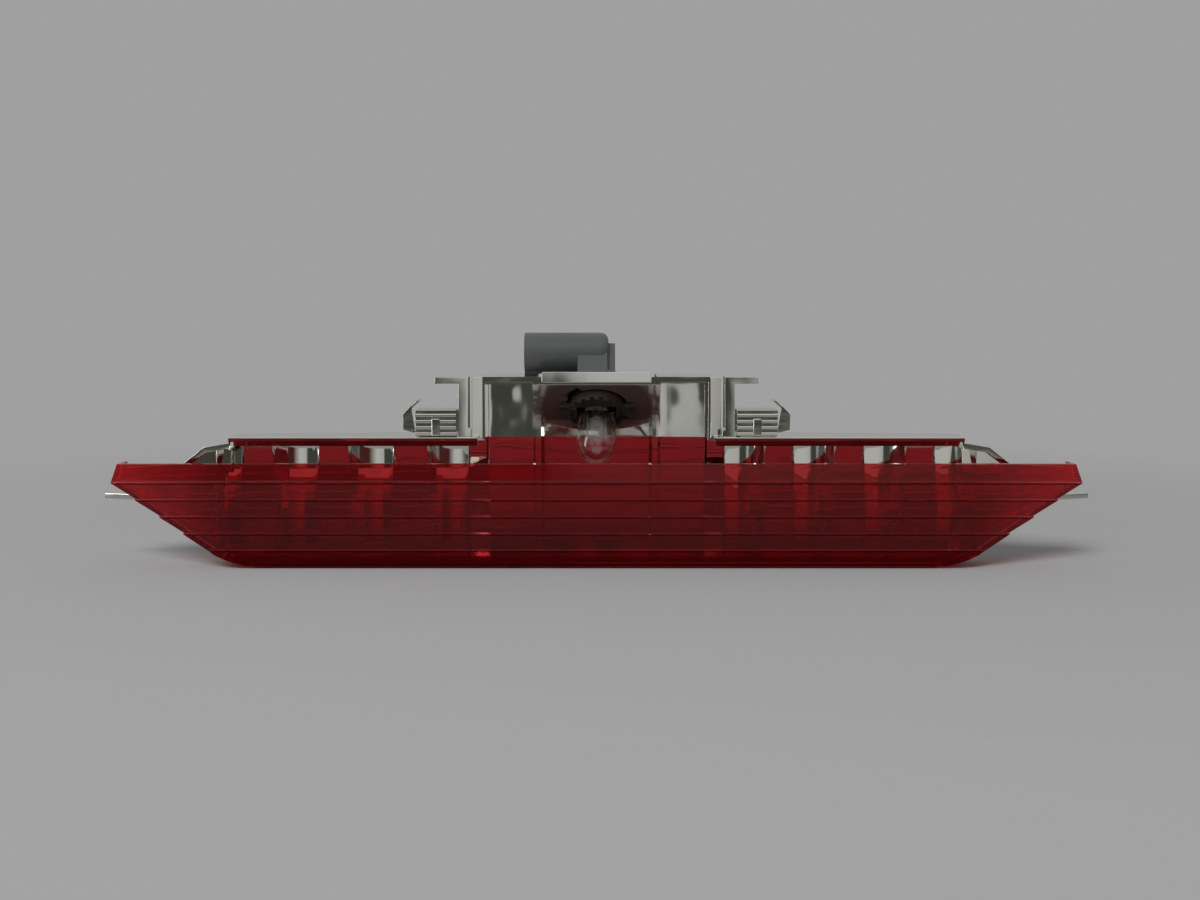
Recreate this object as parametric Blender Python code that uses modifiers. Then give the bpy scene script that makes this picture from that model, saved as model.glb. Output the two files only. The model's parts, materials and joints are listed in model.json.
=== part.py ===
"""Third brake light: a red boat-shaped lens on a metallised reflector housing, lit by one wedge bulb.

X runs along the lamp, Y from the lens to the back and Z up. Depths are measured back from the lens front.
"""

import math

import bmesh
import bpy
from mathutils import Matrix, Vector

# Clearances
FIT_GAP = 0.0003
NECK_CLEARANCE = 0.0010
LUG_CLEARANCE = 0.0004
CUT_MARGIN = 0.0200
BORE_MARGIN = 0.0020
SEAM_GAP = 0.00002

# Where the lamp stands: depth of its origin behind the lens front
ORIGIN_DEPTH = 0.0200

# Lens
LENS_HALF_WIDTH = 0.1800
LENS_TOP_INSET = 0.0020
LENS_WAIST_Z = 0.0324
LENS_HEIGHT = 0.0393
LENS_END_ANGLE = math.radians(36.0)
LENS_KEEL_RADIUS = 0.0400
LENS_KEEL_BAND = 0.0069
LENS_KEEL_DEPTH = 0.0030
LENS_WALL = 0.0026
LENS_DEPTH = 0.0110
LENS_TOP_LEAN = 0.0020
LENS_STEP = 0.0009
LENS_BANDS = 4

# Reflector housing
HOUSING_WALL = 0.0020
ROOF_Z = 0.0490
ROOF_INSET = 0.0430
ROOF_FRONT = 0.0045
ROOF_RIM = 0.0007
ROOF_UNDERCUT = 0.0009
SHOULDER_STEP = 0.0008
SHOULDER_ROOT_Z = 0.0462
SHOULDER_INSET = 0.0315
SHOULDER_Z = 0.0444
SHOULDER_FRONT = 0.0125
TOE_INSET = 0.0240
TOE_Z = 0.0385
END_EDGE_Z = 0.0370

# Stepped mirror cells in the two wings
WING_DEPTH = 0.0260
CELL_MARGIN = 0.0055
CELL_PITCH = 0.0265
CELL_FACET = 0.0145
CELL_RISE = 0.0060
CELL_STEP = 0.0026
CELL_EDGE = 0.0006
CELL_COUNT = 5
FLAT_LEAN = 0.0011

# Bulb box over the middle, with its sloping roof
BOX_HALF_WIDTH = 0.0440
BOX_FRONT = 0.0125
BOX_LIP_Z = 0.0711
BOX_FLANGE = 0.0030
BOX_FLANGE_DEPTH = 0.0020
SEAT_TILT = math.radians(38.0)
SEAT_DEPTH = 0.0257
SEAT_PLATE = 0.0025
LIP_RISE = 0.0018
LIP_DROP = 0.0020
LIP_DEPTH = 0.0012
LIP_ROOT = 0.0005
CHAMBER_HALF_WIDTH = 0.0205
CHAMBER_BACK = 0.0375
CHAMBER_EDGE = 0.0330
RIB_WIDTH = 0.0042
RIB_HEIGHT = 0.0045
RIB_TAPER = 0.0010
WING_SEAM = 0.0036

# Panel hooks and end tabs
HOOK_DEPTH = 0.0070
HOOK_LENGTH = 0.0100
HOOK_POST = 0.0077
HOOK_POST_WIDTH = 0.0037
HOOK_ARM = 0.0165
HOOK_TOP_Z = 0.0711
HOOK_THICKNESS = 0.0025
TAB_Z = 0.0245
TAB_THICKNESS = 0.0020
TAB_OVERHANG = 0.0075
TAB_DEPTH = 0.0120
TAB_TIP = 0.0030

# Spring clips
CLIP_SHEET = 0.0008
BOSS_MARGIN = 0.0095
BOSS_WIDTH = 0.0130
BOSS_DEPTH = 0.0080
BOSS_LENGTH = 0.0100
BOSS_HEIGHT = 0.0088
LEG_SHEET = 0.0006
LEG_WIDTH = 0.0080
LEG_ROOT_Z = 0.0015
LEG_SHOULDER = 0.0040
LEG_SHOULDER_Z = 0.0085
LEG_TIP_Z = 0.0135
LEG_TIP_INSET = 0.0055

# Bulb holder, measured along its axis from the seat
HOLE_RADIUS = 0.0120
GASKET_THICKNESS = 0.0008
GASKET_MARGIN = 0.0010
FLANGE_RADIUS = 0.0175
FLANGE_THICKNESS = 0.0018
NECK_LENGTH = 0.0052
LUG_REACH = 0.0030
LUG_WIDTH = 0.0070
LUG_THICKNESS = 0.0020
HOLDER_TWIST = math.radians(45.0)
POST_LEFT = 0.0074
POST_RIGHT = 0.0042
POST_HALF_DEPTH = 0.0060
POST_HEIGHT = 0.0190
RIB_REACH = 0.0072
RIB_TOP = 0.0255
RIB_HALF_DEPTH = 0.0030
BARREL_AXIS = 0.0227
BARREL_RADIUS = 0.0081
BARREL_WALL = 0.0018
BARREL_REACH = 0.0282
BARREL_HOLLOW = 0.0130
BARREL_END = 0.0046
BARREL_ROUND = 0.0030

# Wedge bulb
BULB_RADIUS = 0.0075
BULB_LENGTH = 0.0270
BULB_GLASS = 0.0008
BULB_NECK_RADIUS = 0.0052
BULB_SHOULDER = 0.0040
BASE_HALF_WIDTH = 0.0072
BASE_HALF_THICKNESS = 0.00125
BASE_LENGTH = 0.0025
EXHAUST_RADIUS = 0.0008
LEAD_RADIUS = 0.0003
LEAD_SPREAD = 0.0035
FILAMENT_DEPTH = 0.0165
FILAMENT_RADIUS = 0.0006
CONTACT_WIRE_LENGTH = 0.0060

# Holder terminals
TERMINAL_SHEET = 0.0006
TERMINAL_WIDTH = 0.0030
TERMINAL_TAIL = 0.0030
PIN_HEIGHT = 0.0014
PIN_SETBACK = 0.0050

ARC_STEPS = 6
ROUND_STEPS = 32
WELD_DISTANCE = 0.000001
SHARPEST_MITRE = 0.2

LENS_TOP_HALF_WIDTH = LENS_HALF_WIDTH - LENS_TOP_INSET
ROOF_HALF_WIDTH = LENS_HALF_WIDTH - ROOF_INSET
SHOULDER_HALF_WIDTH = LENS_HALF_WIDTH - SHOULDER_INSET
TOE_HALF_WIDTH = LENS_HALF_WIDTH - TOE_INSET
BAY_HALF_WIDTH = CHAMBER_HALF_WIDTH + RIB_WIDTH
TAB_REACH = LENS_HALF_WIDTH + TAB_OVERHANG
CELL_START = BOX_HALF_WIDTH + CELL_MARGIN
HOOK_REACH = BOX_HALF_WIDTH + HOOK_ARM
BOSS_START = BOX_HALF_WIDTH + BOSS_MARGIN
SEAM = BOX_HALF_WIDTH + WING_SEAM
SLOPE = math.tan(SEAT_TILT)
SEAT_Z = BOX_LIP_Z - (SEAT_DEPTH - BOX_FRONT) * SLOPE
HOUSING_FRONT = LENS_DEPTH + FIT_GAP
BULB_SEAT = NECK_LENGTH + FIT_GAP
CONTACT_OFFSET = BASE_HALF_THICKNESS + FIT_GAP + LEAD_RADIUS
TERMINAL_OFFSET = CONTACT_OFFSET + LEAD_RADIUS + FIT_GAP + TERMINAL_SHEET / 2
GASKET_TOP = FIT_GAP + GASKET_THICKNESS
FLANGE_BOTTOM = GASKET_TOP + FIT_GAP
LEG_ROOT = BOSS_START + BOSS_WIDTH + FIT_GAP + CLIP_SHEET + FIT_GAP


def clear_scene():
    """Remove every object of the scene."""
    for obj in list(bpy.data.objects):
        bpy.data.objects.remove(obj, do_unlink=True)


def make_material(name, colour, roughness, metallic, transmission=0.0):
    """Make a Principled material."""
    material = bpy.data.materials.new(name)
    material.use_nodes = True
    shader = material.node_tree.nodes["Principled BSDF"]
    shader.inputs["Base Color"].default_value = (*colour, 1.0)
    shader.inputs["Roughness"].default_value = roughness
    shader.inputs["Metallic"].default_value = metallic
    shader.inputs["Transmission Weight"].default_value = transmission
    material.diffuse_color = (*colour, 1.0)
    return material


def add_object(mesh, name="shape"):
    """Put a mesh in the scene as a new object."""
    obj = bpy.data.objects.new(name, mesh)
    bpy.context.scene.collection.objects.link(obj)
    return obj


def freeze(obj):
    """Replace an object by one whose mesh has its modifiers or curve applied and its place in it."""
    bpy.context.view_layer.update()
    evaluated = obj.evaluated_get(bpy.context.evaluated_depsgraph_get())
    mesh = bpy.data.meshes.new_from_object(evaluated)
    mesh.transform(obj.matrix_world)
    shape = bmesh.new()
    shape.from_mesh(mesh)
    bmesh.ops.remove_doubles(shape, verts=shape.verts, dist=WELD_DISTANCE)
    bmesh.ops.recalc_face_normals(shape, faces=shape.faces)
    shape.to_mesh(mesh)
    shape.free()
    bpy.data.objects.remove(obj, do_unlink=True)
    return add_object(mesh)


def prism(outline, low, high, axis):
    """Extrude a closed outline along an axis; its u and v are the other two axes in XYZ order."""
    curve = bpy.data.curves.new("outline", "CURVE")
    curve.dimensions = "2D"
    curve.fill_mode = "BOTH"
    curve.extrude = (high - low) / 2
    spline = curve.splines.new("POLY")
    spline.points.add(len(outline) - 1)
    for point, (u, v) in zip(spline.points, outline):
        point.co = (u, v, 0.0, 1.0)
    spline.use_cyclic_u = True
    obj = bpy.data.objects.new("outline", curve)
    bpy.context.scene.collection.objects.link(obj)
    middle = (low + high) / 2
    turns = {
        "X": Matrix(((0, 0, 1, middle), (1, 0, 0, 0), (0, 1, 0, 0), (0, 0, 0, 1))),
        "Y": Matrix(((1, 0, 0, 0), (0, 0, -1, middle), (0, 1, 0, 0), (0, 0, 0, 1))),
        "Z": Matrix.Translation((0, 0, middle)),
    }
    obj.matrix_world = turns[axis]
    return freeze(obj)


def block(low, high):
    """Make a box between two corners."""
    mesh = bpy.data.meshes.new("block")
    shape = bmesh.new()
    size = Vector(high) - Vector(low)
    place = Matrix.Translation((Vector(high) + Vector(low)) / 2) @ Matrix.Diagonal((*size, 1.0))
    bmesh.ops.create_cube(shape, size=1.0, matrix=place)
    shape.to_mesh(mesh)
    shape.free()
    return add_object(mesh)


def rod(start, end, radius, steps=ROUND_STEPS):
    """Make a cylinder between two points."""
    start = Vector(start)
    along = Vector(end) - start
    turn = along.to_track_quat("Z", "X").to_matrix().to_4x4()
    mesh = bpy.data.meshes.new("rod")
    shape = bmesh.new()
    bmesh.ops.create_cone(
        shape, cap_ends=True, segments=steps, radius1=radius, radius2=radius, depth=along.length,
        matrix=Matrix.Translation(start + along / 2) @ turn)
    shape.to_mesh(mesh)
    shape.free()
    return add_object(mesh)


def turned(profile):
    """Turn a profile of radius and height, listed top to bottom, about the Z axis."""
    mesh = bpy.data.meshes.new("profile")
    shape = bmesh.new()
    points = [shape.verts.new((radius, 0.0, height)) for radius, height in profile]
    for upper, lower in zip(points, points[1:]):
        shape.edges.new((upper, lower))
    shape.to_mesh(mesh)
    shape.free()
    obj = add_object(mesh)
    screw = obj.modifiers.new("turn", "SCREW")
    screw.steps = ROUND_STEPS
    screw.render_steps = ROUND_STEPS
    screw.use_merge_vertices = True
    screw.merge_threshold = 0.00001
    return freeze(obj)


def combine(base, tool, operation):
    """Join, cut or intersect two closed shapes and return the one that is left."""
    modifier = base.modifiers.new(operation.lower(), "BOOLEAN")
    modifier.operation = operation
    modifier.solver = "EXACT"
    modifier.object = tool
    result = freeze(base)
    bpy.data.objects.remove(tool, do_unlink=True)
    return result


def join(base, *tools):
    """Unite shapes."""
    for tool in tools:
        base = combine(base, tool, "UNION")
    return base


def cut(base, *tools):
    """Cut shapes out of a shape."""
    for tool in tools:
        base = combine(base, tool, "DIFFERENCE")
    return base


def keep_inside(base, tool):
    """Keep what lies inside both shapes."""
    return combine(base, tool, "INTERSECT")


def mirrored(points):
    """Complete a half outline, listed from the middle outwards and up, with its mirror image."""
    left = [(-u, v) for u, v in reversed(points) if u > WELD_DISTANCE]
    return list(points) + left


def inset(outline, distance):
    """Move every side of a counter-clockwise outline inwards."""
    result = []
    count = len(outline)
    for index in range(count):
        before = Vector(outline[index - 1])
        here = Vector(outline[index])
        after = Vector(outline[(index + 1) % count])
        first = (here - before).normalized()
        second = (after - here).normalized()
        normal = Vector((-first.y, first.x)) + Vector((-second.y, second.x))
        normal.normalize()
        reach = distance / max(normal.dot(Vector((-first.y, first.x))), SHARPEST_MITRE)
        result.append(tuple(here + normal * reach))
    return result


def hull_half():
    """Give the right half of the boat outline, from the keel up to its widest level."""
    sharp = LENS_HALF_WIDTH - LENS_WAIST_Z / math.tan(LENS_END_ANGLE)
    centre = sharp - LENS_KEEL_RADIUS * math.tan(LENS_END_ANGLE / 2)
    points = []
    for step in range(ARC_STEPS + 1):
        angle = LENS_END_ANGLE * step / ARC_STEPS
        points.append((centre + LENS_KEEL_RADIUS * math.sin(angle),
                       LENS_KEEL_RADIUS * (1 - math.cos(angle))))
    points.append((LENS_HALF_WIDTH, LENS_WAIST_Z))
    return points


def hull_half_width(level):
    """Give the half width of the boat outline on its slanted ends."""
    return LENS_HALF_WIDTH - (LENS_WAIST_Z - level) / math.tan(LENS_END_ANGLE)


def lens_front(offset):
    """Give the side view of the lens front, from its keel up, moved back by an offset."""
    points = []
    for step in range(ARC_STEPS):
        angle = math.pi / 2 * step / ARC_STEPS
        points.append((LENS_KEEL_DEPTH * (1 - math.sin(angle)) + offset,
                       LENS_KEEL_BAND * (1 - math.cos(angle))))
    band = (LENS_WAIST_Z - LENS_KEEL_BAND) / LENS_BANDS
    step = LENS_STEP if offset == 0.0 else 0.0
    for index in range(LENS_BANDS):
        level = LENS_KEEL_BAND + band * index
        points.append((offset + step, level))
        points.append((offset, level + band))
    points.append((offset + step, LENS_WAIST_Z + FIT_GAP))
    points.append((LENS_TOP_LEAN + offset, LENS_HEIGHT))
    return points


def make_lens():
    """Make the lens: a stepped front with a keel and slanted ends, open at the top and the back."""
    outline = mirrored(hull_half() + [(LENS_TOP_HALF_WIDTH, LENS_HEIGHT)])
    inner = []
    for (u, v), (_, level) in zip(inset(outline, LENS_WALL), outline):
        inner.append((u, v + CUT_MARGIN) if level == LENS_HEIGHT else (u, v))
    front = lens_front(0.0) + [(LENS_DEPTH, LENS_HEIGHT), (LENS_DEPTH, 0.0)]
    back = lens_front(LENS_WALL)
    top_y, top_z = back[-1]
    back = [(LENS_KEEL_DEPTH + LENS_WALL, -CUT_MARGIN)] + back
    back += [(top_y, top_z + CUT_MARGIN)]
    back += [(LENS_DEPTH + CUT_MARGIN, top_z + CUT_MARGIN), (LENS_DEPTH + CUT_MARGIN, -CUT_MARGIN)]
    reach = LENS_HALF_WIDTH + CUT_MARGIN
    shell = prism(outline, 0.0, LENS_DEPTH, "Y")
    shell = keep_inside(shell, prism(front, -reach, reach, "X"))
    hollow = prism(inner, -CUT_MARGIN, LENS_DEPTH + CUT_MARGIN, "Y")
    hollow = keep_inside(hollow, prism(back, -reach, reach, "X"))
    return cut(shell, hollow)


def bowl(start, end, near, far):
    """Give points of a hollow curve that leaves its start level and steepens towards its end."""
    points = []
    for step in range(ARC_STEPS + 1):
        share = step / ARC_STEPS
        points.append((start + (end - start) * share, near + (far - near) * share * share))
    return points


def mirror_plan(ribs):
    """Give the right half of the mirror wall seen from above, from the middle outwards."""
    inner_half = BOX_HALF_WIDTH - HOUSING_WALL
    points = bowl(0.0, CHAMBER_HALF_WIDTH, CHAMBER_BACK, CHAMBER_EDGE)
    if ribs:
        rib_front = CHAMBER_EDGE - RIB_HEIGHT
        points.append((CHAMBER_HALF_WIDTH + RIB_TAPER, rib_front))
        points.append((BAY_HALF_WIDTH - RIB_TAPER, rib_front))
    points += bowl(BAY_HALF_WIDTH, inner_half, CHAMBER_EDGE, WING_DEPTH)
    depth = WING_DEPTH
    for index in range(CELL_COUNT):
        start = CELL_START + CELL_PITCH * index
        points += bowl(start, start + CELL_FACET, depth, depth - CELL_RISE) if ribs else [(start, depth)]
        depth -= CELL_STEP
        points.append((start + CELL_FACET + CELL_EDGE, depth))
    reach = max(LENS_HALF_WIDTH, CELL_START + CELL_PITCH * CELL_COUNT) + CUT_MARGIN
    points.append((reach, depth))
    return points


def plan_prism(front, offset, ribs):
    """Extrude the space between a front line and the mirror wall, moved back by an offset."""
    half = [(u, v + offset) for u, v in mirror_plan(ribs)]
    outline = mirrored(half)
    turning = next(i for i, (u, _) in enumerate(outline) if u < 0)
    reach = half[-1][0]
    outline = outline[:turning] + [(reach, front), (-reach, front)] + outline[turning:]
    return prism(outline, -CUT_MARGIN, BOX_LIP_Z + CUT_MARGIN, "Z")


def above_slope(thickness, reach):
    """Make the space above the sloping holder seat, or above the underside of a seat of some thickness."""
    drop = thickness / math.cos(SEAT_TILT)
    front = BOX_FRONT - CUT_MARGIN
    back = CHAMBER_BACK + CUT_MARGIN
    top = BOX_LIP_Z + 2 * CUT_MARGIN

    def level(depth):
        return BOX_LIP_Z - (depth - BOX_FRONT) * SLOPE - drop

    outline = [(front, level(front)), (back, level(back)), (back, top), (front, top)]
    return prism(outline, -reach, reach, "X")


def seat_frame():
    """Give the frame of the tilted holder seat: its Z axis points out of the seat."""
    return Matrix.Translation((0, SEAT_DEPTH, SEAT_Z)) @ Matrix.Rotation(-SEAT_TILT, 4, "X")


def on_seat(obj):
    """Move a shape from the seat's frame into the lamp's."""
    obj.data.transform(seat_frame())
    return obj


def make_leaning_flat(side, index):
    """Make the wedge that tips the upper part of the flat mirror before a cell towards the lens."""
    depth = WING_DEPTH - CELL_STEP * index
    low = CELL_START + CELL_PITCH * (index - 1) + CELL_FACET + CELL_EDGE
    low = max(low, BOX_HALF_WIDTH - HOUSING_WALL) + CELL_EDGE
    high = CELL_START + CELL_PITCH * index - CELL_EDGE
    top = ROOF_Z - HOUSING_WALL / 2
    outline = [
        (depth + HOUSING_WALL / 2, LENS_HEIGHT), (depth, LENS_HEIGHT), (depth - FLAT_LEAN, top),
        (depth + HOUSING_WALL / 2, top),
    ]
    ends = sorted((side * low, side * high))
    return prism(outline, ends[0], ends[1], "X")


def make_hook(side):
    """Make one panel hook: a post on the wing roof with an arm that points outwards."""
    inner = BOX_HALF_WIDTH + BOX_FLANGE + SEAM_GAP
    low = ROOF_Z + SEAM_GAP
    post = BOX_HALF_WIDTH + HOOK_POST
    underside = HOOK_TOP_Z - HOOK_THICKNESS
    outline = [
        (inner, low), (post, low), (post, underside), (HOOK_REACH, underside), (HOOK_REACH, HOOK_TOP_Z),
        (post - HOOK_POST_WIDTH, HOOK_TOP_Z), (post - HOOK_POST_WIDTH, low + HOOK_THICKNESS),
        (inner, low + HOOK_THICKNESS),
    ]
    outline = [(side * u, v) for u, v in outline]
    return prism(outline, HOOK_DEPTH, HOOK_DEPTH + HOOK_LENGTH, "Y")


def make_tab(side):
    """Make one tapered end tab."""
    root = hull_half_width(TAB_Z) - HOUSING_WALL
    front = HOUSING_FRONT + FIT_GAP
    middle = front + TAB_DEPTH / 2
    outline = [
        (root, front), (hull_half_width(TAB_Z + TAB_THICKNESS) + HOUSING_WALL, front),
        (TAB_REACH, middle - TAB_TIP / 2), (TAB_REACH, middle + TAB_TIP / 2), (root, front + TAB_DEPTH),
    ]
    outline = [(side * u, v) for u, v in outline]
    return prism(outline, TAB_Z, TAB_Z + TAB_THICKNESS, "Z")


def make_clip_boss(side):
    """Make the block on the wing roof that a spring clip grips."""
    ends = sorted((side * BOSS_START, side * (BOSS_START + BOSS_WIDTH)))
    return block((ends[0], BOSS_DEPTH, ROOF_Z - HOUSING_WALL / 2),
                 (ends[1], BOSS_DEPTH + BOSS_LENGTH, ROOF_Z + BOSS_HEIGHT))


def make_box_flange(side):
    """Make the front flange down one side of the bulb box."""
    ends = sorted((side * (BOX_HALF_WIDTH - HOUSING_WALL / 2), side * (BOX_HALF_WIDTH + BOX_FLANGE)))
    return block((ends[0], BOX_FRONT - FIT_GAP, ROOF_Z - HOUSING_WALL / 2),
                 (ends[1], BOX_FRONT + BOX_FLANGE_DEPTH, BOX_LIP_Z - FIT_GAP))


def make_box_lip():
    """Make the raised lip along the front of the holder seat."""
    low = BOX_LIP_Z - LIP_DROP
    root = BOX_FRONT + LIP_ROOT
    root_top = BOX_LIP_Z - LIP_ROOT * SLOPE - FIT_GAP
    outline = [
        (BOX_FRONT - LIP_DEPTH, low), (root, low), (root, root_top), (BOX_FRONT, root_top),
        (BOX_FRONT, BOX_LIP_Z + LIP_RISE), (BOX_FRONT - LIP_DEPTH, BOX_LIP_Z + LIP_RISE),
    ]
    return prism(outline, -CHAMBER_HALF_WIDTH, CHAMBER_HALF_WIDTH, "X")


def make_roof_undercut(side):
    """Make the room under the rim along the front of a wing roof."""
    ends = sorted((side * BOX_HALF_WIDTH, side * (ROOF_HALF_WIDTH + CUT_MARGIN)))
    rim = ROOF_Z - ROOF_RIM
    low = ROOF_Z - HOUSING_WALL - CUT_MARGIN / 2
    front = ROOF_FRONT - CUT_MARGIN
    inner = ROOF_FRONT + ROOF_UNDERCUT
    outline = [(front, low), (inner, low), (inner, ROOF_Z - HOUSING_WALL), (ROOF_FRONT, rim), (front, rim)]
    return prism(outline, ends[0], ends[1], "X")


def bayonet_bar(radius, width, low, high):
    """Make a flat bar across the holder axis, from one lug tip to the other."""
    return block((-radius, -width / 2, low), (radius, width / 2, high))


def make_housing():
    """Make the metallised housing: wings of mirror cells, the bulb box, clip bosses and end tabs."""
    half = hull_half() + [
        (LENS_TOP_HALF_WIDTH, END_EDGE_Z), (TOE_HALF_WIDTH, TOE_Z), (SHOULDER_HALF_WIDTH, SHOULDER_Z),
        (ROOF_HALF_WIDTH + SHOULDER_STEP, SHOULDER_ROOT_Z), (ROOF_HALF_WIDTH, ROOF_Z),
        (BOX_HALF_WIDTH, ROOF_Z), (BOX_HALF_WIDTH, BOX_LIP_Z),
    ]
    outline = mirrored(half)
    depth = CHAMBER_BACK + CUT_MARGIN
    reach = LENS_HALF_WIDTH + CUT_MARGIN
    body = plan_prism(ROOF_FRONT, HOUSING_WALL, ribs=False)
    body = keep_inside(body, prism(outline, -CUT_MARGIN, depth, "Y"))
    recess = block((-BOX_HALF_WIDTH - FIT_GAP, -CUT_MARGIN, ROOF_Z - 2 * HOUSING_WALL),
                   (BOX_HALF_WIDTH + FIT_GAP, BOX_FRONT, BOX_LIP_Z + CUT_MARGIN))
    body = cut(body, recess, above_slope(0.0, BAY_HALF_WIDTH - HOUSING_WALL))
    hollow = plan_prism(ROOF_FRONT - CUT_MARGIN, 0.0, ribs=True)
    hollow = keep_inside(hollow, prism(inset(outline, HOUSING_WALL), -CUT_MARGIN, depth, "Y"))
    hollow = cut(hollow, above_slope(SEAT_PLATE, BAY_HALF_WIDTH - RIB_TAPER / 2))
    lens_room = block((-reach, -CUT_MARGIN, -CUT_MARGIN), (reach, HOUSING_FRONT, LENS_HEIGHT + FIT_GAP))
    body = cut(body, hollow, lens_room)
    for side in (-1, 1):
        ends = sorted((side * (ROOF_HALF_WIDTH + FIT_GAP), side * (reach + CUT_MARGIN)))
        gap = block((ends[0], -CUT_MARGIN, -CUT_MARGIN), (ends[1], SHOULDER_FRONT, ROOF_Z + CUT_MARGIN))
        body = cut(body, make_roof_undercut(side), gap)
        body = join(body, make_box_flange(side), make_clip_boss(side), make_tab(side))
        for index in range(CELL_COUNT - 1):
            body = join(body, make_leaning_flat(side, index))
    body = join(body, make_box_lip())
    hole = rod((0, 0, -SEAT_PLATE - BORE_MARGIN), (0, 0, BORE_MARGIN), HOLE_RADIUS)
    tip = HOLE_RADIUS - NECK_CLEARANCE + LUG_REACH + LUG_CLEARANCE
    notch = bayonet_bar(tip, LUG_WIDTH + 2 * LUG_CLEARANCE, -SEAT_PLATE - BORE_MARGIN, BORE_MARGIN)
    notch.data.transform(Matrix.Rotation(HOLDER_TWIST, 4, "Z"))
    return cut(body, on_seat(hole), on_seat(notch))


def housing_section(housing, low, high):
    """Copy what lies between two planes across the lamp from the housing."""
    room = block((low, -CUT_MARGIN, -CUT_MARGIN), (high, CHAMBER_BACK + CUT_MARGIN, BOX_LIP_Z + CUT_MARGIN))
    return keep_inside(add_object(housing.data.copy()), room)


def make_clip(side):
    """Make a spring clip's folded cap over its boss."""
    grip = FIT_GAP + CLIP_SHEET
    inner = sorted((side * (BOSS_START - FIT_GAP), side * (BOSS_START + BOSS_WIDTH + FIT_GAP)))
    outer = sorted((side * (BOSS_START - grip), side * (BOSS_START + BOSS_WIDTH + grip)))
    top = ROOF_Z + BOSS_HEIGHT
    cap = block((outer[0], BOSS_DEPTH - grip, ROOF_Z + FIT_GAP),
                (outer[1], BOSS_DEPTH + BOSS_LENGTH + grip, top + grip))
    room = block((inner[0], BOSS_DEPTH - FIT_GAP, ROOF_Z - CUT_MARGIN),
                 (inner[1], BOSS_DEPTH + BOSS_LENGTH + FIT_GAP, top + FIT_GAP))
    return cut(cap, room)


def make_clip_leg(side):
    """Make a clip's bent spring leg about its root, which lies on the flexing axis."""
    rise = LEG_SHOULDER_Z - LEG_ROOT_Z
    centre = [
        (0.0, 0.0), (LEG_SHOULDER, LEG_SHEET * 2), (LEG_SHOULDER, rise),
        (LEG_SHOULDER - LEG_TIP_INSET, LEG_TIP_Z - LEG_ROOT_Z),
    ]
    outer = [(u + LEG_SHEET, v - LEG_SHEET / 2) for u, v in centre]
    outer[0] = (LEG_SHEET / 2, -LEG_SHEET / 2)
    outer[-1] = (centre[-1][0] + LEG_SHEET, centre[-1][1])
    inner = [(u, v + LEG_SHEET / 2) for u, v in centre]
    inner[2] = (centre[2][0], rise - LEG_SHEET / 2)
    inner[-1] = (centre[-1][0], centre[-1][1] - LEG_SHEET / 2)
    outline = [(side * u, v) for u, v in outer + inner[::-1]]
    return prism(outline, -LEG_WIDTH / 2, LEG_WIDTH / 2, "Y")


def terminal_shape(side, clearance):
    """Make a holder terminal, or with a clearance the room for it: a contact blade turned into a pin."""
    sheet = TERMINAL_SHEET / 2 + clearance
    blade = TERMINAL_WIDTH / 2 + clearance
    pin_low = BARREL_AXIS - PIN_HEIGHT / 2 - clearance
    pin_high = BARREL_AXIS + PIN_HEIGHT / 2 + clearance
    tail = -TERMINAL_TAIL - clearance
    tip = -(BARREL_REACH - PIN_SETBACK)
    outline = [
        (blade, tail), (blade, pin_high), (tip, pin_high), (tip, pin_low), (-blade, pin_low), (-blade, tail),
    ]
    middle = side * TERMINAL_OFFSET
    return prism(outline, middle - sheet, middle + sheet, "Y")


def make_barrel():
    """Make the solid connector barrel with its rounded closed end, in the seat's frame."""
    profile = [(0.0, BARREL_END)]
    for step in range(ARC_STEPS + 1):
        angle = math.pi / 2 * step / ARC_STEPS
        profile.append((BARREL_RADIUS - BARREL_ROUND * (1 - math.sin(angle)),
                        BARREL_END - BARREL_ROUND * (1 - math.cos(angle))))
    profile += [(BARREL_RADIUS, -BARREL_REACH), (0.0, -BARREL_REACH)]
    barrel = turned(profile)
    barrel.data.transform(Matrix.Translation((0, 0, BARREL_AXIS)) @ Matrix.Rotation(math.pi / 2, 4, "Y"))
    return barrel


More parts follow.
